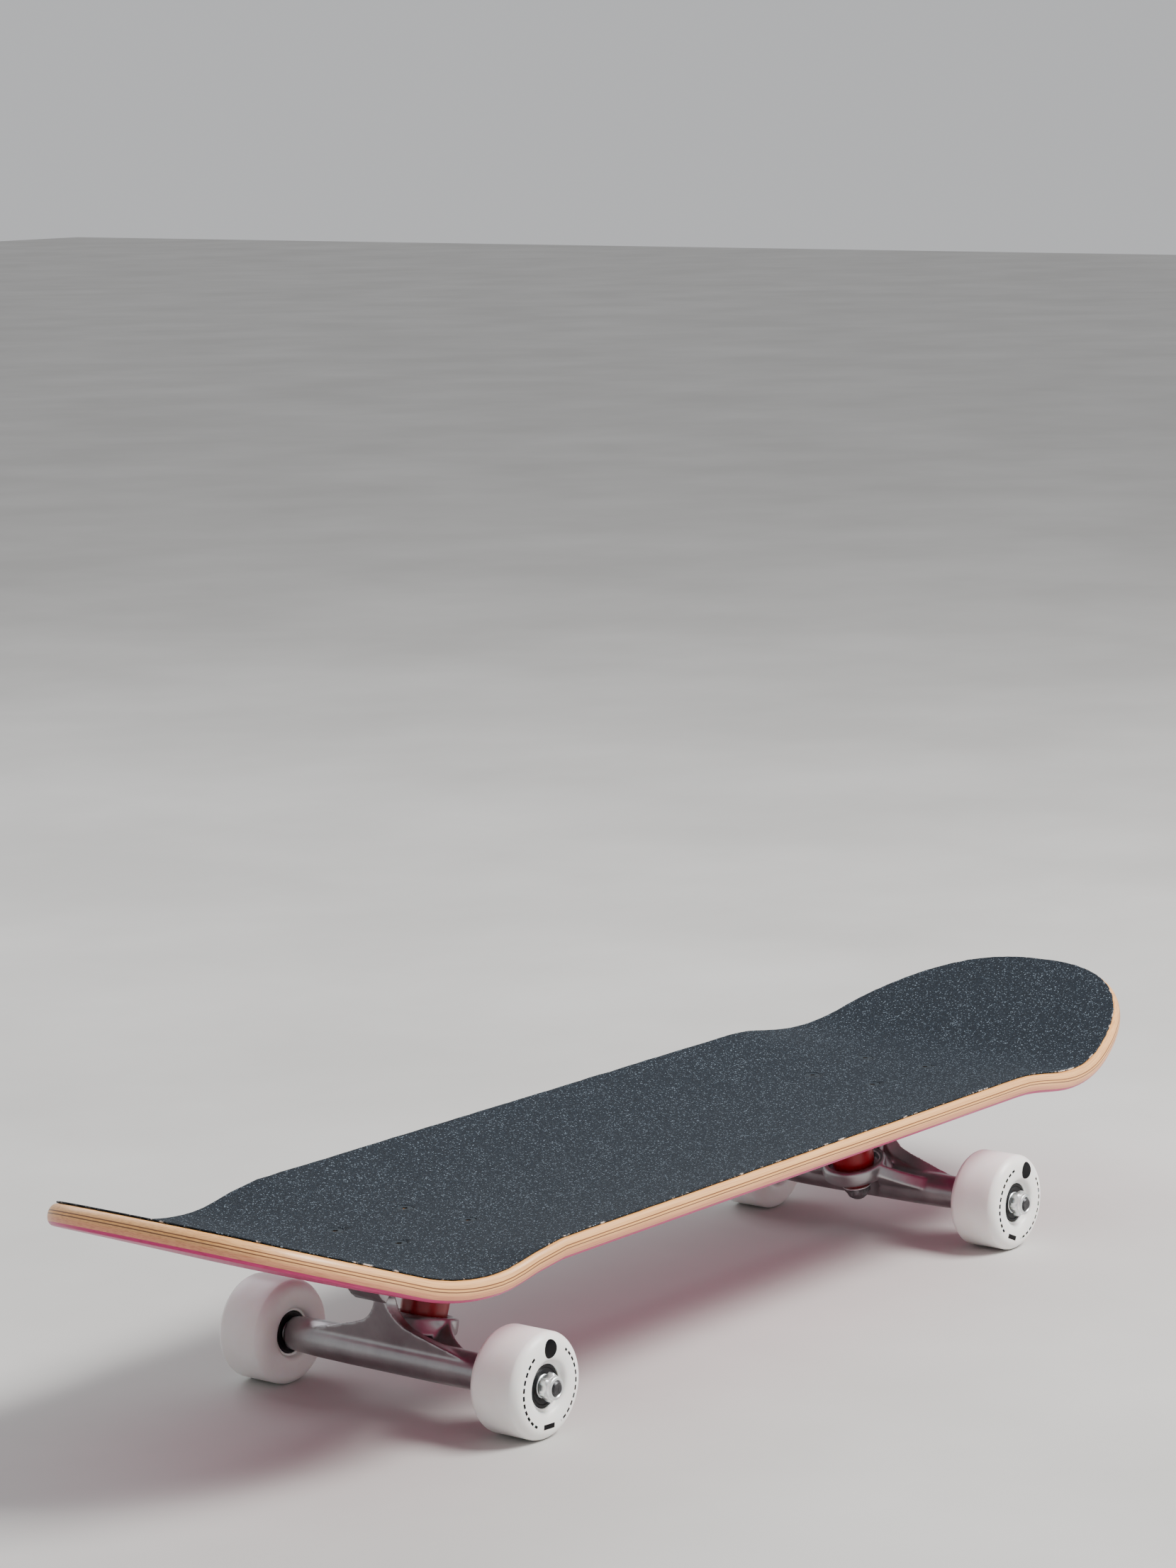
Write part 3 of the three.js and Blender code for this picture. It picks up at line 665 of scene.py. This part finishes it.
def base_plate(end):
    truck = truck_frame(end)
    flat = Matrix.Translation((0, 0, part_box(f"{end}_baseplate")[1][2] - PLATE_THICK / 2))
    plan = rounded_plan(PLATE_LENGTH, PLATE_WIDTH, PLATE_CORNER)
    return extruded(bmesh.new(), plan, PLATE_THICK, truck @ flat, bevel=0.8 * MM)


def kingpin_boss(end):
    boss = [(0, 25.3), (12.2, 25.3), (12.7, 25.8), (13.0, 33), (14.2, 36.5), (15.5, 38.5), (15.5, 39.5),
            (0, 39.5)]
    return turned(in_mm(boss), kingpin_frame(end))


def pivot_box(end):
    side = [(8, 77), (12.5, 73.5), (24.7, 58.9), (28.5, 61.9), (39.1, 75.5), (39.1, 77)]
    return extruded(bmesh.new(), in_mm(side), 20 * MM, truck_frame(end) @ ON_EDGE, bevel=0.7 * MM)


def base_bores(end):
    """The kingpin's hole, the hollow for its head, and the pivot cup's seat."""
    cutters = bmesh.new()
    turned(in_mm([(0, 20), (5.2, 20), (5.2, 60), (0, 60)]), kingpin_frame(end), cutters)
    turned(in_mm([(0, 34), (8, 34), (8, 60), (0, 60)]), kingpin_frame(end), cutters)
    turned(in_mm([(0, 30), (7.6, 30), (7.6, 54.2), (0, 54.2)]), pivot_frame(end), cutters)
    return fuse(new_object("cutters", cutters), 0.5 * MM)


CAST = aluminium()
for end in ENDS:
    plate = new_object(f"{end}_base_casting", base_plate(end))
    carve(plate, new_object("boss", kingpin_boss(end)), "UNION")
    carve(plate, new_object("box", pivot_box(end)), "UNION")
    carve(plate, base_bores(end))
    plate.data.polygons.foreach_set("use_smooth", [True] * len(plate.data.polygons))
    add_sharp_edges(plate, 32)
    place_casting(plate, "root", f"{end}_baseplate")

# Pivot cups: moulded black rubber thimbles pressed into the baseplate, where the hanger's nose sits.
# They are seen only as a thin lip round the nose.
CUP = 7.5  # outer radius. This and the next three are in mm, like the profile
CUP_BORE = 6.2
MOUTH = 44.0  # along the steering axis, from the middle of the hanger's ring
CUP_END = 54.0


def rubber_black():
    return mottled(*material("black_rubber", (0.02, 0.02, 0.02), 0.6), grain=(900.0, 3.0),
                   stops=[(0.3, (0.014, 0.014, 0.014)), (0.8, (0.035, 0.035, 0.035))],
                   gloss=(0.25, 0.45), relief=(0.15, 0.0001))


RUBBER = rubber_black()
for end in ENDS:
    cup = turned(in_mm([
        (0, CUP_END), (CUP - 1, CUP_END), (CUP, CUP_END - 1), (CUP, MOUTH + 0.4), (CUP - 0.4, MOUTH),
        (CUP_BORE + 0.3, MOUTH), (CUP_BORE, MOUTH + 0.4), (CUP_BORE, CUP_END - 2.4), (0, CUP_END - 1.6)]),
        pivot_frame(end))
    place_piece(f"{end}_cup_moulding", cup, RUBBER, "root", [f"{end}_pivot_cup"])

# Kingpins: forged bolts pressed down through the baseplate, blackened, with a fine thread at the foot.
# A lock nut and a cupped washer above and below squeeze the two bushings against the hanger's ring.
PIN = 4.76 * MM
FINE_PITCH = 1.06 * MM
PIN_FOOT = -18.8 * MM  # heights are along the kingpin, from the middle of the hanger's ring
PIN_THREAD_TOP = -8 * MM
PIN_SHOULDER = 34.1 * MM
PIN_NUT_TOP = -11.4 * MM


def zinc():
    return mottled(*material("bright_zinc", (0.78, 0.80, 0.81), 0.3, 1.0), grain=(260.0, 4.0),
                   stops=[(0.3, (0.70, 0.73, 0.74)), (0.7, (0.86, 0.88, 0.88))],
                   gloss=(0.25, 0.28), relief=(0.12, 0.0001))


def nut_steel():
    return mottled(*material("grey_nut_steel", (0.2, 0.2, 0.21), 0.34, 0.9), grain=(500.0, 4.0),
                   stops=[(0.3, (0.13, 0.13, 0.14)), (0.7, (0.26, 0.26, 0.27))],
                   gloss=(0.25, 0.22), relief=(0.15, 0.0001))


ZINC = zinc()
NUT_STEEL = nut_steel()
for end in ENDS:
    place = kingpin_frame(end)
    profile = [(0, PIN_FOOT), (PIN - 1 * MM, PIN_FOOT),
               *threaded(PIN, PIN_FOOT + 0.6 * MM, PIN_THREAD_TOP, FINE_PITCH),
               (PIN, PIN_THREAD_TOP + 0.5 * MM), (PIN, PIN_SHOULDER)]
    profile += in_mm([(7.2, 34.1), (7.6, 34.6), (7.6, 39.6), (7.0, 40.1), (0, 40.1)])
    place_piece(f"{end}_kingpin_bolt", turned(profile, place), BLACK_STEEL, "root",
                [f"{end}_kingpin"])
    nut = lock_nut(12.7 * MM, PIN + 0.05 * MM, 6.2 * MM, 1.7 * MM)
    nut.transform(place @ Matrix.Translation((0, 0, PIN_NUT_TOP)) @ Matrix.Rotation(math.pi, 4, "X"))
    place_piece(f"{end}_kingpin_lock_nut", nut, NUT_STEEL, "root", [f"{end}_kingpin_nut"])
    upper = in_mm([(5, 23.9), (11.2, 23.9), (12.1, 23.1), (12.25, 23.4), (11.7, 25.0), (5, 25.0)])
    lower = in_mm([(5, -11.1), (8.2, -11.1), (8.6, -10.7), (8.6, -10.2), (8.2, -10.0), (5, -10.0)])
    for which, washer in (("upper", upper), ("lower", lower)):
        place_piece(f"{end}_{which}_cup_washer", turned(washer, place), ZINC, "root",
                    [f"{end}_{which}_washer"])

# Bushings: poured red urethane. The barrel above the ring and the short cone below it give the truck
# its spring. Each is cut across into slices.


def red_urethane():
    made, tree, shader = material("red_urethane", (0.42, 0.008, 0.012), 0.3)
    shader.inputs["Subsurface Weight"].default_value = 0.1
    shader.inputs["Subsurface Radius"].default_value = (0.004, 0.001, 0.001)
    return mottled(made, tree, shader, grain=(180.0, 4.0),
                   stops=[(0.3, (0.22, 0.001, 0.005)), (0.75, (0.34, 0.003, 0.010))],
                   gloss=(0.25, 0.2), relief=(0.1, 0.0002))


RED = red_urethane()


def barrel(low, high, radius, waist, bore, rounding=1.0, steps=9):
    """A bored barrel from low to high, fattest in the middle, with rounded rims."""
    outside = []
    for i in range(steps + 1):
        t = i / steps
        bulge = math.sin(math.pi * t) ** 0.7
        outside.append((waist + (radius - waist) * bulge, low + rounding + (high - low - 2 * rounding) * t))
    return [(bore, low), (waist - rounding, low), (waist - rounding * 0.3, low + rounding * 0.3), *outside,
            (waist - rounding * 0.3, high - rounding * 0.3), (waist - rounding, high), (bore, high)]


def sliced(bm, low, high, slices=8):
    """Cuts a turned piece across into even slices between its two ends."""
    for i in range(1, slices):
        level = low + (high - low) * i / slices
        bmesh.ops.bisect_plane(bm, geom=bm.verts[:] + bm.edges[:] + bm.faces[:], plane_co=(0, 0, level),
                               plane_no=(0, 0, 1))
    return bm


BUSHING_BORE = 4.96  # mm, like the profiles
UPPER_BARREL = barrel(0.8, 23.5, 12.4, 11.5, BUSHING_BORE)
LOWER_CONE = [(BUSHING_BORE, -9.9), (7.0, -9.9), (7.5, -9.5), (8.1, -7), (8.6, -4.6), (8.2, -3.9),
              (BUSHING_BORE, -3.8)]
for end in ENDS:
    place = kingpin_frame(end)
    hanger_body = f"{end}_hanger_body"
    for name, shape, start, stop in (
            ("upper_bushing", UPPER_BARREL, 23.0 * MM, 5.0 * MM),
            ("lower_bushing", LOWER_CONE, -9.8 * MM, -4.5 * MM)):
        profile = in_mm(shape)
        bm = sliced(turned(profile), profile[0][1], profile[-1][1])
        bm.transform(place)
        piece = add_sharp_edges(new_object(f"{end}_{name}_urethane", bm), 50)
        piece.data.materials.append(RED)
        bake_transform(piece)
        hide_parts(f"{end}_{name}")

# Hangers: cast aluminium, tumbled, held by the kingpin through the ring and by the nose in its cup.
# A tube for the axle, a leaning bell-shaped web up to the nose on the outer side, and two wings that
# sweep in to the bushing ring on the inner side.
AXLE_Z = JOINTS["tail_left_wheel_spin"]["pos_m"][2]
WEB_FOOT = (13.4 * MM, 0, 33.4 * MM)
WEB_LEAN = math.radians(13.2)
WEB_DEPTH = 8.5 * MM
VOXEL = 0.7 * MM


def lofted(bm, front, back, depth, matrix):
    """Two outlines in XY with as many points each, the back one a depth behind, joined and capped."""
    part = bmesh.new()
    rings = [[part.verts.new((x, y, z)) for x, y in outline_points]
             for outline_points, z in ((front, 0), (back, -depth))]
    part.faces.new(rings[0])
    part.faces.new(rings[1])
    edges = [part.edges.get((ring[i - 1], ring[i])) for ring in rings for i in range(len(ring))]
    bmesh.ops.bridge_loops(part, edges=edges)
    return add_part(bm, part, matrix)


def bent(start, pull, stop, steps=16):
    """Points along a quadratic curve."""
    result = []
    for i in range(steps + 1):
        t = i / steps
        a, b, c = (1 - t) ** 2, 2 * t * (1 - t), t * t
        result.append((a * start[0] + b * pull[0] + c * stop[0], a * start[1] + b * pull[1] + c * stop[1]))
    return result


def mirrored(points, last_x, foot):
    """A closed outline from its right half, which runs from the end to the middle, on a foot."""
    return [(last_x, foot), *points, *[(-x, y) for x, y in reversed(points)], (-last_x, foot)]


def hanger_tube(bm, axle):
    half = [(9.7, 30), (9.5, 48), (9.0, 62), (8.5, 67.6), (8.0, 68.2), (0, 68.2)]
    tube = [(radius, -y) for radius, y in reversed(half)] + half
    turned(in_mm(tube), axle @ Matrix.Rotation(-math.pi / 2, 4, "X"), bm)


def hanger_ring(bm, end):
    """The bushing ring, with a skirt under its outer side, and the nose on the steering axis."""
    ring = [(0, -4.7), (16.6, -4.7), (17.6, -4.2), (18.2, -3.0), (18.4, 0), (18.2, 3.2), (17.6, 4.3),
            (16.6, 4.7), (0, 4.7)]
    turned(in_mm(ring), kingpin_frame(end), bm)
    skirt = [(0, -4.7), (19.5, -4.7), (17.6, -2), (16.2, 1), (15.4, 3.4), (0, 3.4)]
    turned(in_mm(skirt), kingpin_frame(end) @ Matrix.Translation((5 * MM, 0, 0)), bm)
    nose = [(0, 33), (4.6, 33), (5.4, 38), (5.7, 42), (5.7, 48.5), (4.6, 50.8), (2.6, 51.8), (0, 52)]
    turned(in_mm(nose), pivot_frame(end), bm)


def hanger_web(bm, truck):
    """The bell-shaped web on the outer side. It leans in and narrows towards its back."""
    front = bent((53, 0), (24, 8.6), (15, 11.8), 10) + bent((15, 11.8), (6.5, 15.5), (3.4, 25.5), 12)[1:]
    back = bent((47, -1), (24, 2.6), (13.7, 6.8), 10) + bent((13.7, 6.8), (4.5, 12), (2.6, 25.4), 12)[1:]
    facing = Matrix(((0, 0, 1, 0), (1, 0, 0, 0), (0, 1, 0, 0), (0, 0, 0, 1)))
    foot = Matrix.Translation(WEB_FOOT) @ Matrix.Rotation(WEB_LEAN, 4, "Y")
    lofted(bm, in_mm(mirrored(front, 53, -5)), in_mm(mirrored(back, 47, -8)), WEB_DEPTH,
           truck @ foot @ facing)


def hanger_neck(bm, truck):
    """The rib that joins the top of the web to the nose."""
    neck = [(-2, 35), (6, 33), (14, 44), (17, 58.5), (12, 62.5), (9, 56), (6.8, 48), (2.5, 41.5)]
    extruded(bm, in_mm(neck), 8 * MM, truck @ ON_EDGE)


def hanger_wings(bm, axle, rise):
    """The two wings that sweep from the ends of the tube in to the ring."""
    edge = bent((61, 4.5), (30, 8), (17.6, 27), 20)
    sideways = Matrix(((0, -1, 0, 0), (1, 0, 0, 0), (0, 0, 1, 0), (0, 0, 0, 1)))
    extruded(bm, in_mm(mirrored(edge, 61, -4)), 8 * MM, axle @ Matrix.Rotation(rise, 4, "Y") @ sideways,
             bevel=1.2 * MM)


def hanger_casting(end):
    truck = truck_frame(end)
    axle_x = (truck.inverted() @ Vector(JOINTS[f"{end}_left_wheel_spin"]["pos_m"])).x
    axle = truck @ Matrix.Translation((axle_x, 0, AXLE_Z))
    ring_at = ring_offset(end)
    bm = bmesh.new()
    hanger_tube(bm, axle)
    hanger_ring(bm, end)
    hanger_web(bm, truck)
    hanger_neck(bm, truck)
    hanger_wings(bm, axle, math.atan2(ring_at.z - AXLE_Z, axle_x - ring_at.x))
    return new_object(f"{end}_hanger_casting", bm)


def hanger_bores(end):
    """The kingpin's hole through the ring, with a seat for each bushing and room for the nut."""
    bores = [(0, -40), (12.0, -40), (12.0, -4.7), (10.4, -4.7), (10.4, -3.5), (7.0, -3.5), (7.0, 0.5),
             (14.4, 0.5), (14.7, 4), (16, 40), (0, 40)]
    return new_object("bores", turned(in_mm(bores), kingpin_frame(end)))


def softened(piece, turns):
    """Rounds off a fused casting's inner corners."""
    soften = piece.modifiers.new("soften", "SMOOTH")
    soften.factor = 0.5
    soften.iterations = turns
    finished(piece)
    piece.data.polygons.foreach_set("use_smooth", [True] * len(piece.data.polygons))
    return piece


for end in ENDS:
    hanger = fuse(hanger_casting(end), VOXEL)
    carve(hanger, hanger_bores(end))
    softened(fuse(hanger, VOXEL), 4)
    place_casting(hanger, f"{end}_hanger_body", f"{end}_hanger")

# Axles: one hardened steel rod through each hanger, blackened, with a fine thread at both ends that
# shows in the middle of the axle nuts.
AXLE_RADIUS = 4 * MM
THREAD_START = 90 * MM  # from the middle of the axle
for end in ENDS:
    spin = Vector(JOINTS[f"{end}_left_wheel_spin"]["pos_m"])
    place = Matrix.Translation((spin.x, 0, spin.z)) @ Matrix.Rotation(-math.pi / 2, 4, "X")
    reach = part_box(f"{end}_axle")[1][1]
    half = [(AXLE_RADIUS, THREAD_START - 0.4 * MM),
            *threaded(AXLE_RADIUS, THREAD_START, reach - 0.7 * MM, FINE_PITCH),
            (AXLE_RADIUS - 1 * MM, reach), (0, reach)]
    rod = [(radius, -y) for radius, y in reversed(half)] + half
    place_piece(f"{end}_axle_rod", turned(rod, place), BLACK_STEEL, f"{end}_hanger_body",
                [f"{end}_axle"])

# Wheels: poured white urethane, 54 mm across, with a flat tread, rounded shoulders and side faces that
# dip in to the bearings. The outer face is printed with a black disc, arcs of short dashes and a bar.
PRINT_TURN = {"tail_right": -3, "nose_right": -23, "tail_left": 40, "nose_left": 40}  # degrees
CM = 0.01  # the unit of the print's sizes
DISC_PLACE = (0, 1.90, 0)
DISC_RADIUS = 0.48
DASH_RADIUS = 2.06
DASH_HALF_WIDTH = 0.065
DASHES_ROUND = 33.0
BAR_HALF = (0.42, 0.13)
BAR_PLACE = -1.95


def face_length(tree, vector):
    return node(tree, "ShaderNodeVectorMath", operation="LENGTH", i0=vector).outputs["Value"]


def wheel_print(tree):
    """1 on the printed marks of the wheel's face, 0 elsewhere. The face's map is in cm."""
    face = node(tree, "ShaderNodeUVMap", uv_map="face").outputs[0]
    parts = node(tree, "ShaderNodeSeparateXYZ", Vector=face)
    across, up = parts.outputs[0], parts.outputs[1]
    from_disc = node(tree, "ShaderNodeVectorMath", operation="SUBTRACT", i0=face, i1=DISC_PLACE).outputs[0]
    disc = math_node(tree, "LESS_THAN", face_length(tree, from_disc), DISC_RADIUS)
    angle = math_node(tree, "ARCTAN2", across, up)
    wave = math_node(tree, "SINE", math_node(tree, "MULTIPLY", angle, DASHES_ROUND))
    dash = math_node(tree, "GREATER_THAN", wave, -0.4)
    band = math_node(tree, "COMPARE", face_length(tree, face), DASH_RADIUS, DASH_HALF_WIDTH)
    beside_disc_and_bar = math_node(tree, "COMPARE", math_node(tree, "COSINE", angle), -0.03, 0.86)
    dashes = math_node(tree, "MULTIPLY", math_node(tree, "MULTIPLY", band, dash), beside_disc_and_bar)
    bar = math_node(tree, "MULTIPLY", math_node(tree, "COMPARE", across, 0.0, BAR_HALF[0]),
                    math_node(tree, "COMPARE", up, BAR_PLACE, BAR_HALF[1]))
    return math_node(tree, "MAXIMUM", disc, math_node(tree, "MAXIMUM", dashes, bar))


def white_urethane():
    made, tree, shader = material("white_urethane", (0.86, 0.83, 0.79), 0.33)
    shader.inputs["Subsurface Weight"].default_value = 0.3
    shader.inputs["Subsurface Radius"].default_value = (0.006, 0.004, 0.003)
    cloud = noise_at(tree, stretched(tree, (1, 1, 1)), 70.0, 4.0)
    base = ramp(tree, cloud, [(0.3, (0.91, 0.885, 0.85)), (0.7, (0.95, 0.94, 0.915))])
    ink = wheel_print(tree)
    shine = math_node(tree, "MULTIPLY_ADD", ink, -0.35, 0.42)
    tree.links.new(mix(tree, ink, base, (0.004, 0.004, 0.005)), shader.inputs["Base Color"])
    tree.links.new(shine, shader.inputs["Specular IOR Level"])
    tree.links.new(math_node(tree, "MULTIPLY_ADD", cloud, 0.2, 0.24), shader.inputs["Roughness"])
    bump(tree, shader, cloud, 0.08, 0.0003)
    return made


def wheel_face(side):
    """One side of the wheel's profile, from the tread's middle in to the bearing seat."""
    shoulder = [(27.0, 10.6), (26.85, 11.4), (26.4, 12.3), (25.7, 13.25), (24.7, 14.2), (23.4, 15.0),
                (21.8, 15.5), (20.0, 15.7), (18.2, 15.72), (16.4, 15.62), (14.9, 15.4), (13.7, 15.0),
                (12.9, 14.2), (12.4, 13.1), (12.2, 12.7), (11.1, 12.55)]
    return [(radius, side * height) for radius, height in shoulder]


WHITE = white_urethane()
WHEELS = [(end, hand, side) for end in ENDS for hand, side in (("left", 1), ("right", -1))]


def wheel_frame(end, hand, side):
    """Origin in the wheel's middle, +Z out along the axle."""
    spin = Matrix.Translation(Vector(JOINTS[f"{end}_{hand}_wheel_spin"]["pos_m"]))
    return spin @ Matrix.Rotation(-side * math.pi / 2, 4, "X")


for end, hand, side in WHEELS:
    name = f"{end}_{hand}"
    bearing_seat = [(11.1, 5.0), (9.4, 4.8), (9.4, -4.8), (11.1, -5.0)]
    tread = [(27.0, -5), (27.0, 0), (27.0, 5)]
    profile = wheel_face(1) + bearing_seat + wheel_face(-1)[::-1] + tread
    bm = turned(in_mm(profile), segments=128)
    face_map = bm.loops.layers.uv.new("face")
    for face in bm.faces:
        outside = face.calc_center_median().z > 0
        for loop in face.loops:
            at = loop.vert.co
            loop[face_map].uv = (at.x / CM, at.y / CM) if outside else (0, 0)
    turn = Matrix.Rotation(math.radians(PRINT_TURN[name]), 4, "Z")
    upright = Matrix.Rotation(math.pi if side > 0 else 0, 4, "Z")
    bm.transform(wheel_frame(end, hand, side) @ upright @ turn)
    place_piece(f"{name}_urethane_wheel", bm, WHITE, f"{name}_wheel_body", [f"{name}_wheel"],
                45)

# Bearings: 8 x 22 x 7 mm, two in each wheel. The outer ring and its black shield turn with the wheel,
# and the inner ring stays clamped on the axle.


def shield_black():
    made, tree, shader = material("bearing_shield", (0.012, 0.012, 0.013), 0.45)
    shader.inputs["Specular IOR Level"].default_value = 0.2
    return mottled(made, tree, shader, grain=(700.0, 3.0),
                   stops=[(0.3, (0.004, 0.004, 0.005)), (0.8, (0.014, 0.014, 0.016))],
                   gloss=(0.2, 0.28), relief=(0.1, 0.0001))


SHIELD = shield_black()
OUTER_RING = [(9.5, -3.5), (10.6, -3.5), (11, -3.1), (11, 3.1), (10.6, 3.5), (9.5, 3.5)]
SHIELD_PLATE = [(6.2, 2.9), (6.3, 3.15), (8.8, 3.35), (9.2, 3.1), (9.5, 3.3), (9.5, 2.7), (6.2, 2.6)]
INNER_RACE = [(4.05, -3.5), (5.7, -3.5), (6.0, -3.2), (6.0, 3.2), (5.7, 3.5), (4.05, 3.5)]
BEARING_PLACE = 8.8 * MM  # its middle, from the middle of the wheel
for end, hand, side in WHEELS:
    wheel = wheel_frame(end, hand, side)
    wheel_body, hanger_body = f"{end}_{hand}_wheel_body", f"{end}_hanger_body"
    for which, facing in (("inner", Matrix.Rotation(math.pi, 4, "X")), ("outer", Matrix())):
        name = f"{end}_{hand}_{which}"
        place = wheel @ facing @ Matrix.Translation((0, 0, BEARING_PLACE))
        for part, shape, finish, body, replaced in (
                ("ring", OUTER_RING, SHIELD, wheel_body, [f"{name}_bearing"]),
                ("shield", SHIELD_PLATE, SHIELD, wheel_body, []),
                ("race", INNER_RACE, ZINC, hanger_body, [])):
            place_piece(f"{name}_bearing_{part}", turned(in_mm(shape), place), finish, body, replaced)

# Axle hardware: a speed washer on each side of each wheel, and a zinc-plated lock nut that leaves the
# wheel a little play.
NUT_TURN = {"tail_right": 20, "nose_right": 5, "tail_left": 0, "nose_left": 0}  # degrees
for end, hand, side in WHEELS:
    name = f"{end}_{hand}"
    wheel = wheel_frame(end, hand, side)
    body = f"{end}_hanger_body"
    for which, low, high, replaced in (
            ("outer", 12.4, 13.3, [f"{name}_axle_washer"]), ("inner", -13.5, -12.5, [])):
        ring = [(4.1, low), (5.2, low), (5.5, low + 0.2), (5.5, high - 0.2), (5.2, high), (4.1, high)]
        place_piece(f"{name}_{which}_speed_washer", turned(in_mm(ring), wheel), ZINC, body, replaced)
    nut = lock_nut(12.7 * MM, 3.95 * MM, 6.5 * MM, 2.0 * MM)
    turn = Matrix.Rotation(math.radians(NUT_TURN[name]), 4, "Z")
    nut.transform(wheel @ Matrix.Translation((0, 0, 13.5 * MM)) @ turn)
    place_piece(f"{name}_axle_lock_nut", nut, ZINC, body, [f"{name}_axle_nut"])

# Studio: a plain pale floor, a pale world for fill, one large soft light high to the right and a
# weaker one behind.


def pale_floor():
    made, tree, shader = material("pale_floor", (0.62, 0.61, 0.59), 0.75)
    cloud = noise_at(tree, stretched(tree, (1, 1, 1)), 3.0, 6.0)
    colour = ramp(tree, cloud, [(0.35, (0.50, 0.49, 0.475)), (0.7, (0.58, 0.57, 0.555))])
    tree.links.new(colour, shader.inputs["Base Color"])
    return made


bm = bmesh.new()
bmesh.ops.create_grid(bm, x_segments=2, y_segments=2, size=12)
floor = new_object("studio_floor", bm)
floor.data.materials.append(pale_floor())

world = bpy.data.worlds.new("studio")
bpy.context.scene.world = world
world.use_nodes = True
sky = world.node_tree.nodes["Background"]
sky.inputs["Color"].default_value = (0.93, 0.94, 0.96, 1)
sky.inputs["Strength"].default_value = 0.62


def soft_light(name, place, target, size, power, colour):
    lamp = bpy.data.lights.new(name, "AREA")
    lamp.shape = "RECTANGLE"
    lamp.size, lamp.size_y = size
    lamp.energy = power
    lamp.color = colour
    lit = bpy.data.objects.new(name, lamp)
    lit.location = place
    lit.rotation_euler = (Vector(target) - Vector(place)).to_track_quat("-Z", "Y").to_euler()
    bpy.context.scene.collection.objects.link(lit)


soft_light("key_light", (0.9, -1.6, 2.2), (0, 0, 0), (1.3, 1.0), 150, (1.0, 0.985, 0.96))
soft_light("back_light", (0.4, 2.0, 1.6), (0, 0, 0), (1.6, 0.8), 18, (0.94, 0.97, 1.0))

camera_data = bpy.data.cameras.new("camera")
camera_data.sensor_width = 36
camera_data.lens = 101.13
camera = bpy.data.objects.new("camera", camera_data)
yaw, pitch, roll = 0.6554, -0.1593, -0.0130
aim = Euler((math.pi / 2 + pitch, 0, yaw - math.pi / 2)).to_matrix() @ Matrix.Rotation(roll, 3, "Z")
camera.rotation_euler = aim.to_euler()
camera.location = (-1.8404, -1.3766, 0.6565)
bpy.context.scene.collection.objects.link(camera)
bpy.context.scene.camera = camera
